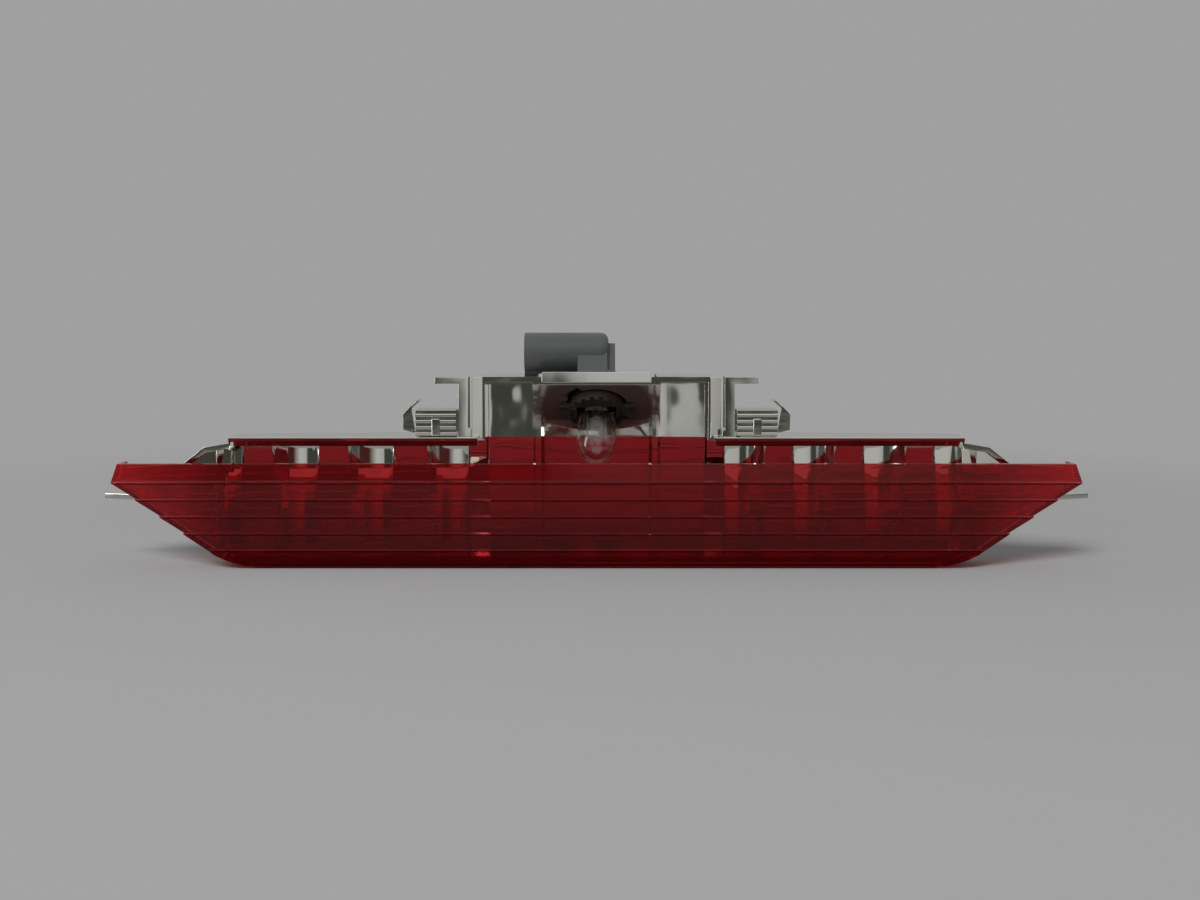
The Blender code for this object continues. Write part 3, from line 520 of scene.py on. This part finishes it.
class Growth:
    """A Geometry Nodes tree with named sizes that grows one piece."""

    def __init__(self, name: str, sizes: Dict[str, float], finish: Finish) -> None:
        """Open a tree.

        Args:
            name: the piece's name.
            sizes: the tree's inputs in metres or counts, by name.
            finish: the finish that the grown mesh gets.
        """
        self.name = name
        self.sizes = sizes
        self.finish = finish
        self.tree = bpy.data.node_groups.new(name, "GeometryNodeTree")
        self.keys: Dict[str, str] = {}
        for word, value in sizes.items():
            kind = "NodeSocketInt" if isinstance(value, int) else "NodeSocketFloat"
            item = self.tree.interface.new_socket(word, in_out="INPUT", socket_type=kind)
            self.keys[word] = item.identifier
        self.tree.interface.new_socket("Geometry", in_out="OUTPUT", socket_type="NodeSocketGeometry")
        self.inputs = self.tree.nodes.new("NodeGroupInput").outputs

    def add(self, kind: str, links: Optional[Dict[Any, Socket]] = None,
            values: Optional[Dict[Any, Any]] = None, **settings: Any) -> bpy.types.Node:
        """Add a node to the tree."""
        return add_node(self.tree, kind, links, values, **settings)

    def vector(self, **parts: Socket) -> Socket:
        """Combine sizes into a vector."""
        return self.add("ShaderNodeCombineXYZ", dict(parts)).outputs[0]

    def grow(self, shape: Socket, matrix: Matrix) -> Piece:
        """End the tree, evaluate it once and give the plain piece, moved by a matrix.

        Args:
            shape: the geometry that the tree makes.
            matrix: where the piece goes.

        Returns:
            The new piece.
        """
        real = self.add("GeometryNodeRealizeInstances", {0: shape}).outputs[0]
        done = self.add("GeometryNodeSetMaterial", {0: real})
        done.inputs["Material"].default_value = self.finish.material()
        self.add("NodeGroupOutput", {0: done.outputs[0]})
        piece = new_piece(self.name, bpy.data.meshes.new(self.name))
        modifier = piece.modifiers.new("growth", "NODES")
        modifier.node_group = self.tree
        for word, value in self.sizes.items():
            modifier[self.keys[word]] = value
        plain_mesh(piece)
        place(piece.data, matrix)
        piece.data.shade_smooth()
        piece.data.set_sharp_from_angle(angle=math.radians(35.0))
        return piece


@dataclass
class RedLens:
    """The boat-shaped lens with its horizontal steps."""

    rounding: Rounding = Rounding.STAMPED
    slope: float = 0.45 * MM
    lowest: float = 4 * MM
    highest: float = 36 * MM

    def build(self) -> None:
        """Slope the steps' ledges, round the lens's edges and give it its finish."""
        lens = tidy_copy("red_lens", ["lens"])
        back = CAD_BOX[0][1] + 6 * MM
        inner = set()
        for face in lens.data.polygons:
            middle = face.center
            if face.normal.z > 0.9 and self.lowest < middle.z < self.highest and middle.y < back:
                inner.update(v for v in face.vertices if lens.data.vertices[v].co.y > middle.y)
        for index in inner:
            lens.data.vertices[index].co.z += self.slope
        LOG.info("%d points of the lens steps sloped", len(inner))
        round_edges(lens, self.rounding, 20.0)
        dress(lens, RED, "lamp", ["lens"])


@dataclass
class MirrorHousing:
    """The metallised moulding: wings of mirror cells, bulb box and panel hooks, in one piece."""

    nodes: Tuple[str, ...] = ("bulb_box", "reflector_wing_left", "reflector_wing_right",
                              "panel_hook_left", "panel_hook_right")
    crease: float = 46.7 * MM
    lens_top: float = 36 * MM
    lowest: float = 22 * MM
    upper_lean: float = math.tan(math.radians(5.0))
    lower_lean: float = math.tan(math.radians(7.0))
    facet_lean: float = math.tan(math.radians(8.0))
    facet_foot_lean: float = math.tan(math.radians(18.0))
    chamber_half: float = 22 * MM
    chamber_start: float = 30.5 * MM
    rib_inner: float = 21.2 * MM
    rib_depth: float = 30 * MM
    rib_turn: float = 0.07
    bay_inner: float = 24.7 * MM
    bay_outer: float = 42 * MM
    bay_near: float = 26 * MM
    bay_far: float = 33 * MM
    bay_flat: float = 30 * MM
    bay_turn: float = 0.03
    seat_lip: float = 69 * MM
    lip_lean: float = math.tan(math.radians(11.0))
    hook_front: float = 7 * MM
    hook_half: float = 61 * MM
    hook_lean: float = math.tan(math.radians(9.0))
    hook_turn_left: float = 0.04
    hook_turn_right: float = 0.067
    flange_half: float = 47.01 * MM
    flange_end: float = 14.8 * MM
    flange_lean: float = math.tan(math.radians(4.0))
    flange_turn: float = math.tan(math.radians(5.0))
    mirror_start: float = 15 * MM
    mirror_blend: float = 2.5 * MM
    cell_start: float = 49.5 * MM
    cell_pitch: float = 26.5 * MM
    cell_facet: float = 14.5 * MM
    cell_rise: float = 6 * MM
    cell_edge: float = 0.6 * MM
    cell_count: int = 5
    red_from: float = 0.4
    red_to: float = 0.75
    left_from: float = 0.7
    left_to: float = 0.95
    left_rise: float = 5.2 * MM
    left_start: float = 66 * MM
    left_end: float = 133 * MM
    left_rest: float = 146 * MM
    left_shift: float = 2.3 * MM
    left_stretch: float = 0.072
    slack: float = 0.3 * MM
    rim_z: float = 48.3 * MM
    rim_rise: float = 0.4 * MM
    lip_drop: float = 1.5 * MM
    lip_back: float = 1.7 * MM
    roof_front: float = 4.5 * MM
    roof_half: float = 137 * MM
    wall_outline: Tuple[Tuple[float, float], ...] = (
        (138.4 * MM, 36.5 * MM), (160 * MM, 36.5 * MM), (155.6 * MM, 38.0 * MM), (148.2 * MM, 43.6 * MM),
        (138.4 * MM, 45.2 * MM))
    wall_depth: float = 13.2 * MM
    wall_lean: float = math.tan(math.radians(7.0))

    def build(self) -> None:
        """Weld the moulding, tip its mirrors, round its edges and metallise it."""
        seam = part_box("bulb_box")[1][0]
        starts = [self.cell_start + self.cell_pitch * index for index in range(self.cell_count)]
        ends = [start - self.cell_edge for start in starts] + [start + self.cell_facet + self.cell_edge for start in starts]
        columns = [side * end for end in ends for side in (-1, 1)]
        levels = (self.lowest, self.lens_top, self.crease)
        housing = tidy_copy("mirror_housing", self.nodes, (-seam, seam), levels, columns)
        points = housing.data.vertices
        mirrors = [vert for vert in points if not self.behind(vert)]
        for vert in mirrors:
            depth = vert.co.y - CAD_BOX[0][1]
            vert.co.y += self.tip(vert.co)
            self.drop_lip(vert.co)
            if vert.co.x < 0.0 and depth > self.mirror_start and vert.co.z < self.crease + 0.1 * MM:
                vert.co.x -= self.spread(-vert.co.x)
        for edge in housing.data.edges:
            heights = [points[end].co.z for end in edge.vertices]
            edge.use_edge_sharp = any(all(abs(z - fold) < 0.01 * MM for z in heights) for fold in levels[1:])
        round_edges(housing, Rounding.STAMPED)
        dress(housing, MIRROR, "lamp", self.nodes)
        for side, word in ((-1, "left"), (1, "right")):
            dress(self.shoulder_wall(side, f"shoulder_wall_{word}"), MIRROR, "lamp")

    def behind(self, vert: bpy.types.MeshVertex) -> bool:
        """Tell whether a point is on the back of a wing, which stays as it is."""
        deep = vert.co.y - CAD_BOX[0][1] > self.mirror_start
        return deep and abs(vert.co.x) > self.bay_outer + self.slack and vert.normal.y > 0.0

    def spread(self, across: float) -> float:
        """Give how much farther out the left wing's cells sit than the right wing's.

        Args:
            across: a point's distance from the lamp's middle.

        Returns:
            The move outwards, which fades out at both ends of the wing.
        """
        first = self.cell_start + self.cell_pitch
        full = self.left_shift + self.left_stretch * (min(across, self.left_end) - first)
        enter = min(max((across - self.left_start) / (first - self.left_start - MM), 0.0), 1.0)
        leave = min(max((self.left_rest - across) / (self.left_rest - self.left_end), 0.0), 1.0)
        return full * enter * leave

    def drop_lip(self, point: Vector) -> None:
        """Deepen the roof's front lip under its rim, so that it mirrors the lens."""
        depth = point.y - CAD_BOX[0][1]
        along = self.bay_outer < abs(point.x) < self.roof_half + self.slack
        if not along or not self.roof_front - self.slack < depth < self.roof_front + 2 * MM:
            return
        if abs(point.z - self.rim_z) < self.slack:
            point.z += self.rim_rise
        elif self.crease < point.z < self.rim_z:
            point.z -= self.lip_drop
            point.y += self.lip_back

    def shoulder_wall(self, side: int, name: str) -> Piece:
        """Make the wavy wall that closes a shoulder's front."""
        front = CAD_BOX[0][1] + self.wall_depth
        low = self.wall_outline[0][1]
        piece = plate(name, [(side * u, v) for u, v in self.wall_outline], front, front + 0.8 * MM)
        for vert in piece.data.vertices:
            vert.co.y += self.wall_lean * (vert.co.z - low)
        round_edges(piece, Rounding.STAMPED)
        return piece

    def tip(self, point: Vector) -> float:
        """Give how far back a point of the mirror wall moves where the moulding's mirrors lean.

        Args:
            point: a point of the moulding.

        Returns:
            The move along Y.
        """
        across = abs(point.x)
        level = max(point.z, self.lowest) - self.crease
        depth = point.y - CAD_BOX[0][1]
        start = self.chamber_start if across < self.chamber_half else self.mirror_start
        weight = min(max((depth - start) / self.mirror_blend, 0.0), 1.0)
        if depth < self.flange_end and self.bay_outer < across < self.flange_half and level > 0.0:
            turn = self.flange_turn * (across - self.flange_half) * math.copysign(1.0, point.x)
            return self.flange_lean * level + turn
        if across < self.chamber_half and point.z > self.seat_lip and depth < self.flange_end:
            return self.lip_lean * (point.z - self.seat_lip)
        on_hook = self.flange_half - self.slack < across < self.hook_half and point.z > self.rim_z + self.slack
        if on_hook and abs(depth - self.hook_front) < self.slack:
            turn = self.hook_turn_left if point.x < 0.0 else self.hook_turn_right
            return self.hook_lean * (point.z - self.rim_z) - turn * (across - self.flange_half)
        if across > self.bay_outer + self.slack:
            return weight * self.on_facet(point.x, level)
        if self.rib_inner < across < self.bay_inner - self.slack and self.mirror_start < depth < self.rib_depth:
            turn = self.rib_turn * (across - self.rib_inner) if point.x > 0.0 else 0.0
            return max(-self.lower_lean * level, 0.0) - turn
        lean = (self.upper_lean if level > 0.0 else -self.lower_lean) * level
        if across < self.bay_inner - self.slack:
            return weight * lean
        share = (across - self.bay_inner) / (self.bay_outer - self.bay_inner)
        plan = self.bay_far + (self.bay_near - self.bay_far) * share * share
        turn = self.bay_turn * (across - self.bay_inner) if point.x > 0.0 else 0.0
        return weight * (lean - turn + self.bay_flat - plan)

    def on_facet(self, place: float, level: float) -> float:
        """Give the move of a point on a cell's hollow facet, which leans back first and upright at its peak.

        Args:
            place: the point's X; the left wing's facets turn more evenly than the right wing's.
            level: the point's height over the crease.

        Returns:
            The move along Y, which is none between facets.
        """
        red_from, red_to = (self.left_from, self.left_to) if place < 0.0 else (self.red_from, self.red_to)
        for index in range(self.cell_count):
            share = (abs(place) - self.cell_start - self.cell_pitch * index) / self.cell_facet
            if -self.slack < share * self.cell_facet < self.cell_facet + self.slack:
                share = min(max(share, 0.0), 1.0)
                upright = min(max((share - red_from) / (red_to - red_from), 0.0), 1.0)
                hollow = self.cell_rise * (share ** 2 - share ** 4)
                if place < 0.0:
                    late = (self.cell_rise - self.left_rise) * share ** 12
                    hollow = self.cell_rise * share ** 2 - self.left_rise * share ** 3 - late
                foot = min(level - self.lens_top + self.crease, 0.0)
                lean = self.facet_lean * (level - foot) + self.facet_foot_lean * foot
                return hollow + (1.0 - upright) * lean
        return 0.0


@dataclass
class BulbHolder:
    """The grey twist-lock holder with its connector barrel."""

    teeth: int = 20
    tooth_ring: float = 10.4 * MM
    tooth_width: float = 1.7 * MM
    tooth_depth: float = 1.1 * MM
    tooth_height: float = 2.2 * MM
    neck_end: float = -5.2 * MM
    lug_low: Point = (-13.6 * MM, -11.5 * MM, 3.1 * MM)
    lug_high: Point = (-8.0 * MM, -7.5 * MM, 6.0 * MM)

    def seat(self) -> Matrix:
        """Give the frame of the holder's seat from its joint."""
        joint = next(j for j in frame["joints"] if j["name"] == "holder_twist")
        up = Vector(joint["axis"])
        side = Vector((1.0, 0.0, 0.0))
        turn = Matrix((side, up.cross(side), up)).transposed().to_4x4()
        return Matrix.Translation(joint["pos_m"]) @ turn

    def build(self) -> None:
        """Make the body, its neck teeth and its lug."""
        body = tidy_copy("holder_body", ["socket_body"])
        round_edges(body, Rounding.MOULDED)
        dress(body, GREY, "bulb_holder", ["socket_body"])
        dress(self.neck_teeth(), GREY, "bulb_holder")
        lug = box_mesh("holder_lug", self.lug_low, self.lug_high)
        place(lug.data, self.seat())
        round_edges(lug, Rounding.SOFT)
        dress(lug, GREY, "bulb_holder")
        keep_node("socket_gasket", RUBBER)
        for node in ("terminal_front", "terminal_back"):
            keep_node(node, BRASS)

    def neck_teeth(self) -> Piece:
        """Grow the ring of spring teeth round the end of the neck."""
        growth = Growth("neck_teeth", {"Count": self.teeth, "Ring": self.tooth_ring, "Width": self.tooth_width,
                                       "Depth": self.tooth_depth, "Height": self.tooth_height}, GREY)
        sizes = growth.inputs
        ring = growth.add("GeometryNodeMeshCircle", {"Vertices": sizes["Count"], "Radius": sizes["Ring"]})
        tooth = growth.add("GeometryNodeMeshCube", {
            "Size": growth.vector(X=sizes["Depth"], Y=sizes["Width"], Z=sizes["Height"])})
        spot = growth.add("GeometryNodeInputPosition").outputs[0]
        turn = growth.add("FunctionNodeAlignRotationToVector", {"Vector": spot}, axis="X", pivot_axis="Z")
        teeth = growth.add("GeometryNodeInstanceOnPoints", {
            "Points": ring.outputs[0], "Instance": tooth.outputs[0], "Rotation": turn.outputs[0]})
        return growth.grow(teeth.outputs[0], self.seat() @ Matrix.Translation((0, 0, self.neck_end)))


@dataclass
class WedgeBulb:
    """The capless bulb: glass with a pinched base, wires and a coiled filament."""

    coil_turns: float = 11.0
    coil_radius: float = 0.45 * MM
    coil_length: float = 5.6 * MM
    wire_radius: float = 0.11 * MM
    depth: float = 16.5 * MM

    def build(self, seat: Matrix) -> None:
        """Make the glass and the filament and show the wires.

        Args:
            seat: the frame of the holder's seat.
        """
        glass = tidy_copy("bulb_envelope", ["bulb_glass"])
        round_edges(glass, Rounding.MOULDED, 40.0)
        dress(glass, GLASS, "bulb_holder", ["bulb_glass"])
        dress(self.filament(seat), TUNGSTEN, "bulb_holder", ["bulb_filament"])
        for node in ("bulb_lead_left", "bulb_lead_right", "bulb_contact_front", "bulb_contact_back"):
            keep_node(node, WIRE)

    def filament(self, seat: Matrix) -> Piece:
        """Grow the filament's coil along X between the two leads."""
        growth = Growth("filament_coil", {"Turns": self.coil_turns, "Radius": self.coil_radius,
                                          "Length": self.coil_length, "Wire": self.wire_radius}, TUNGSTEN)
        sizes = growth.inputs
        coil = growth.add("GeometryNodeCurveSpiral", {
            "Rotations": sizes["Turns"], "Start Radius": sizes["Radius"], "End Radius": sizes["Radius"],
            "Height": sizes["Length"]}, {"Resolution": 16})
        wire = growth.add("GeometryNodeCurvePrimitiveCircle", {"Radius": sizes["Wire"]}, {"Resolution": 8})
        tube = growth.add("GeometryNodeCurveToMesh", {"Curve": coil.outputs[0], "Profile Curve": wire.outputs[0]},
                          {"Fill Caps": True})
        start = Matrix.Translation((-self.coil_length / 2, 0, -self.depth))
        return growth.grow(tube.outputs[0], seat @ start @ Matrix.Rotation(math.pi / 2, 4, "Y"))


@dataclass
class SpringClip:
    """One zinc-plated spring clip: a folded cap of stacked bands over its boss, and its flexing leg."""

    side: str = "left"
    bands: int = 4
    band_radius: float = 0.8 * MM
    band_pitch: float = 2.3 * MM
    stem_half: float = 1.6 * MM
    stem_height: float = 6.6 * MM
    cheek: Tuple[Tuple[float, float], ...] = (
        (0.3 * MM, 50.8 * MM), (4.4 * MM, 51.6 * MM), (4.6 * MM, 57.6 * MM), (1.6 * MM, 60.6 * MM),
        (1.5 * MM, 58.6 * MM))
    cheek_sheet: float = 0.6 * MM

    def build(self) -> None:
        """Make the cap, its bands and stem, and the leg with its cheek."""
        cap = tidy_copy(f"clip_cap_{self.side}", [f"clip_{self.side}"])
        round_edges(cap, Rounding.STAMPED)
        dress(cap, STEEL, "lamp", [f"clip_{self.side}"])
        dress(self.stacked_bands(), STEEL, "lamp")
        low, high = (Vector(corner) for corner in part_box(f"clip_{self.side}"))
        middle = (low.x + high.x) / 2
        stem = box_mesh(f"clip_stem_{self.side}", (middle - self.stem_half, low.y - 0.9 * MM, low.z),
                        (middle + self.stem_half, low.y + 0.4 * MM, low.z + self.stem_height))
        round_edges(stem, Rounding.SOFT)
        dress(stem, STEEL, "lamp")
        leg = tidy_copy(f"clip_spring_leg_{self.side}", [f"clip_leg_{self.side}"])
        round_edges(leg, Rounding.STAMPED)
        dress(leg, STEEL, f"leg_{self.side}", [f"clip_leg_{self.side}"])
        dress(self.leg_cheek(), STEEL, f"leg_{self.side}")

    def leg_cheek(self) -> Piece:
        """Make the cheek folded over the front edge of the leg."""
        sign = -1 if self.side == "left" else 1
        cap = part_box(f"clip_{self.side}")
        edge = max(abs(cap[0][0]), abs(cap[1][0]))
        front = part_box(f"clip_leg_{self.side}")[0][1]
        outline = [(sign * (edge + u), v) for u, v in self.cheek]
        piece = plate(f"clip_cheek_{self.side}", outline, front, front + self.cheek_sheet)
        round_edges(piece, Rounding.STAMPED)
        return piece

    def stacked_bands(self) -> Piece:
        """Grow the stacked bands that the strip's folds show on the cap's front."""
        low, high = (Vector(corner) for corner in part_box(f"clip_{self.side}"))
        growth = Growth(f"clip_bands_{self.side}", {"Count": self.bands, "Pitch": self.band_pitch,
                                                    "Radius": self.band_radius, "Length": high.x - low.x}, STEEL)
        sizes = growth.inputs
        stack = growth.add("GeometryNodeMeshLine", {
            "Count": sizes["Count"], "Offset": growth.vector(Z=sizes["Pitch"])}, mode="OFFSET")
        band = growth.add("GeometryNodeMeshCylinder", {"Radius": sizes["Radius"], "Depth": sizes["Length"]},
                          {"Vertices": 16})
        turned = growth.add("GeometryNodeTransform", {"Geometry": band.outputs[0]},
                            {"Rotation": (0.0, math.pi / 2, 0.0)})
        bands = growth.add("GeometryNodeInstanceOnPoints", {
            "Points": stack.outputs[0], "Instance": turned.outputs[0]})
        foot = Matrix.Translation(((low.x + high.x) / 2, low.y + 0.4 * MM, low.z + self.band_radius))
        return growth.grow(bands.outputs[0], foot)


@dataclass(frozen=True)
class Zone:
    """A patch of the room in front of the lamp, between directions across, up to a height."""

    colour: str
    left: float
    left_full: float
    right_full: float
    right: float
    height: float
    foot: float = -0.5

    def over(self, tree: Tree, colour: Socket, parts: Any, front: Socket) -> Socket:
        """Lay the patch over a colour.

        Args:
            tree: the world's nodes.
            colour: what the room shows without the patch.
            parts: the direction's X, Y and Z.
            front: how far the direction points to the front.

        Returns:
            The colour with the patch.
        """
        enter = span(tree, parts["X"], self.left, self.left_full, 0.0, 1.0)
        leave = span(tree, parts["X"], self.right_full, self.right, 1.0, 0.0)
        low = span(tree, parts["Z"], self.height, self.height + 0.1, 1.0, 0.0)
        share = front
        high = span(tree, parts["Z"], self.foot - 0.02, self.foot, 0.0, 1.0)
        for part in (enter, leave, low, high):
            share = add_node(tree, "ShaderNodeMath", {0: share, 1: part}, operation="MULTIPLY").outputs[0]
        mix = add_node(tree, "ShaderNodeMix", {"Factor": share, 6: colour}, data_type="RGBA")
        mix.inputs[7].default_value = srgb(self.colour)
        return mix.outputs[2]


@dataclass
class Studio:
    """The table, light and camera of the photograph."""

    focal_px: float = 1472.0
    image_px: float = 1200.0
    distance: float = 540 * MM
    height: float = 105 * MM
    pitch: float = math.radians(6.36)
    across: float = 1.3 * MM
    backdrop: str = "a0a0a0"
    mirrored: str = "4c4e48"
    ambient: str = "a4a4a4"

    def build(self) -> None:
        """Make the table, the light and the camera."""
        self.table()
        self.room()
        panel = self.lamp("ceiling_panel", (-0.9, -2.6, 2.3), (0.0, 0.0, 0.0), 1.3, 1.3, 118.0)
        panel.visible_glossy = False
        panel.visible_transmission = False
        window = self.lamp("side_window", (-0.3, -0.11, 0.13), (0.0, -0.0045, 0.0478), 0.07, 0.25, 0.3)
        window.visible_diffuse = False
        window.visible_transmission = False
        window.visible_camera = False
        self.camera()

    def table(self) -> None:
        """Lay a pale table that runs out into the even tone of the backdrop."""
        shape = bmesh.new()
        bmesh.ops.create_grid(shape, x_segments=1, y_segments=1, size=6.0,
                              matrix=Matrix.Translation((0, 0, CAD_BOX[0][2] - 0.02 * MM)))
        mesh = bpy.data.meshes.new("table")
        shape.to_mesh(mesh)
        shape.free()
        material = bpy.data.materials.new("pale_table")
        material.use_nodes = True
        tree = material.node_tree
        tree.nodes.clear()
        paint = add_node(tree, "ShaderNodeBsdfDiffuse", values={"Color": srgb(self.backdrop)})
        direct = add_node(tree, "ShaderNodeLightPath").outputs["Is Camera Ray"]
        tone = add_node(tree, "ShaderNodeEmission", {"Color": blend(tree, direct, self.mirrored, self.backdrop)})
        spot = add_node(tree, "ShaderNodeTexCoord").outputs["Object"]
        reach = add_node(tree, "ShaderNodeVectorMath", {0: spot}, operation="LENGTH").outputs["Value"]
        far = span(tree, reach, 0.22, 0.5, 0.0, 1.0)
        seen = add_node(tree, "ShaderNodeMath", {0: far, 1: self.seen(tree)}, operation="MULTIPLY").outputs[0]
        mix = add_node(tree, "ShaderNodeMixShader", {0: seen, 1: paint.outputs[0], 2: tone.outputs[0]})
        add_node(tree, "ShaderNodeOutputMaterial", {"Surface": mix.outputs[0]})
        mesh.materials.append(material)
        new_piece("table", mesh)

    def seen(self, tree: Tree) -> Socket:
        """Give 1 for what the eye, a mirror or glass sees and 0 for light that is scattered."""
        path = add_node(tree, "ShaderNodeLightPath").outputs
        some = add_node(tree, "ShaderNodeMath", {0: path["Is Camera Ray"], 1: path["Is Glossy Ray"]}, operation="ADD")
        every = add_node(tree, "ShaderNodeMath", {0: some.outputs[0], 1: path["Is Transmission Ray"]},
                         operation="ADD", use_clamp=True)
        return every.outputs[0]

    def room(self) -> None:
        """Fill the room with soft light: an even backdrop, a pale front right and someone dark beside the camera."""
        world = bpy.data.worlds.new("room")
        bpy.context.scene.world = world
        world.use_nodes = True
        tree = world.node_tree
        way = add_node(tree, "ShaderNodeTexCoord").outputs["Generated"]
        parts = add_node(tree, "ShaderNodeSeparateXYZ", {0: way}).outputs
        colour = blend(tree, span(tree, parts["Z"], 0.1, 0.6, 0.0, 1.0), self.backdrop, "d4d4d2")
        front = span(tree, parts["Y"], -0.3, -0.6, 0.0, 1.0)
        for zone in (Zone("b8b8b4", -0.06, 0.1, 0.38, 0.5, 1.0, 0.05), Zone("40423a", -0.4, -0.3, -0.035, -0.01, 0.3),
                     Zone("48221f", 0.2, 0.45, 1.2, 1.3, 0.3), Zone("f8f6f0", -1.4, -1.3, 1.3, 1.4, 2.0, 0.6)):
            colour = zone.over(tree, colour, parts, front)
        scattered = add_node(tree, "ShaderNodeMix", {"Factor": self.seen(tree), 7: colour}, data_type="RGBA")
        scattered.inputs[6].default_value = srgb(self.ambient)
        colour = scattered.outputs[2]
        seen = add_node(tree, "ShaderNodeLightPath").outputs["Is Camera Ray"]
        mix = add_node(tree, "ShaderNodeMix", {"Factor": seen, 6: colour}, data_type="RGBA")
        mix.inputs[7].default_value = srgb(self.backdrop)
        tree.links.new(mix.outputs[2], tree.nodes["Background"].inputs["Color"])

    def lamp(self, name: str, spot: Point, target: Point, wide: float, tall: float, power: float) -> Piece:
        """Add one soft box that faces a point."""
        data = bpy.data.lights.new(name, "AREA")
        data.shape = "RECTANGLE"
        data.size = wide
        data.size_y = tall
        data.energy = power
        lamp = bpy.data.objects.new(name, data)
        bpy.context.scene.collection.objects.link(lamp)
        lamp.location = spot
        lamp.rotation_euler = (Vector(target) - Vector(spot)).to_track_quat("-Z", "Y").to_euler()
        return lamp

    def camera(self) -> None:
        """Set the camera at the photograph's angle."""
        data = bpy.data.cameras.new("camera")
        data.sensor_width = 36.0
        data.lens = 36.0 * self.focal_px / self.image_px
        data.clip_start = 0.01
        camera = bpy.data.objects.new("camera", data)
        bpy.context.scene.collection.objects.link(camera)
        camera.location = (self.across, CAD_BOX[0][1] - self.distance, self.height)
        camera.rotation_euler = (math.pi / 2 - self.pitch, 0.0, 0.0)
        bpy.context.scene.camera = camera


def main() -> None:
    """Build the dressed lamp and its studio."""
    logging.basicConfig(level=logging.INFO, format="%(message)s")
    bpy.context.scene.view_settings.view_transform = "Standard"
    RedLens().build()
    MirrorHousing().build()
    holder = BulbHolder()
    holder.build()
    WedgeBulb().build(holder.seat())
    SpringClip("left").build()
    SpringClip("right").build()
    Studio().build()


if __name__ == "__main__":
    main()
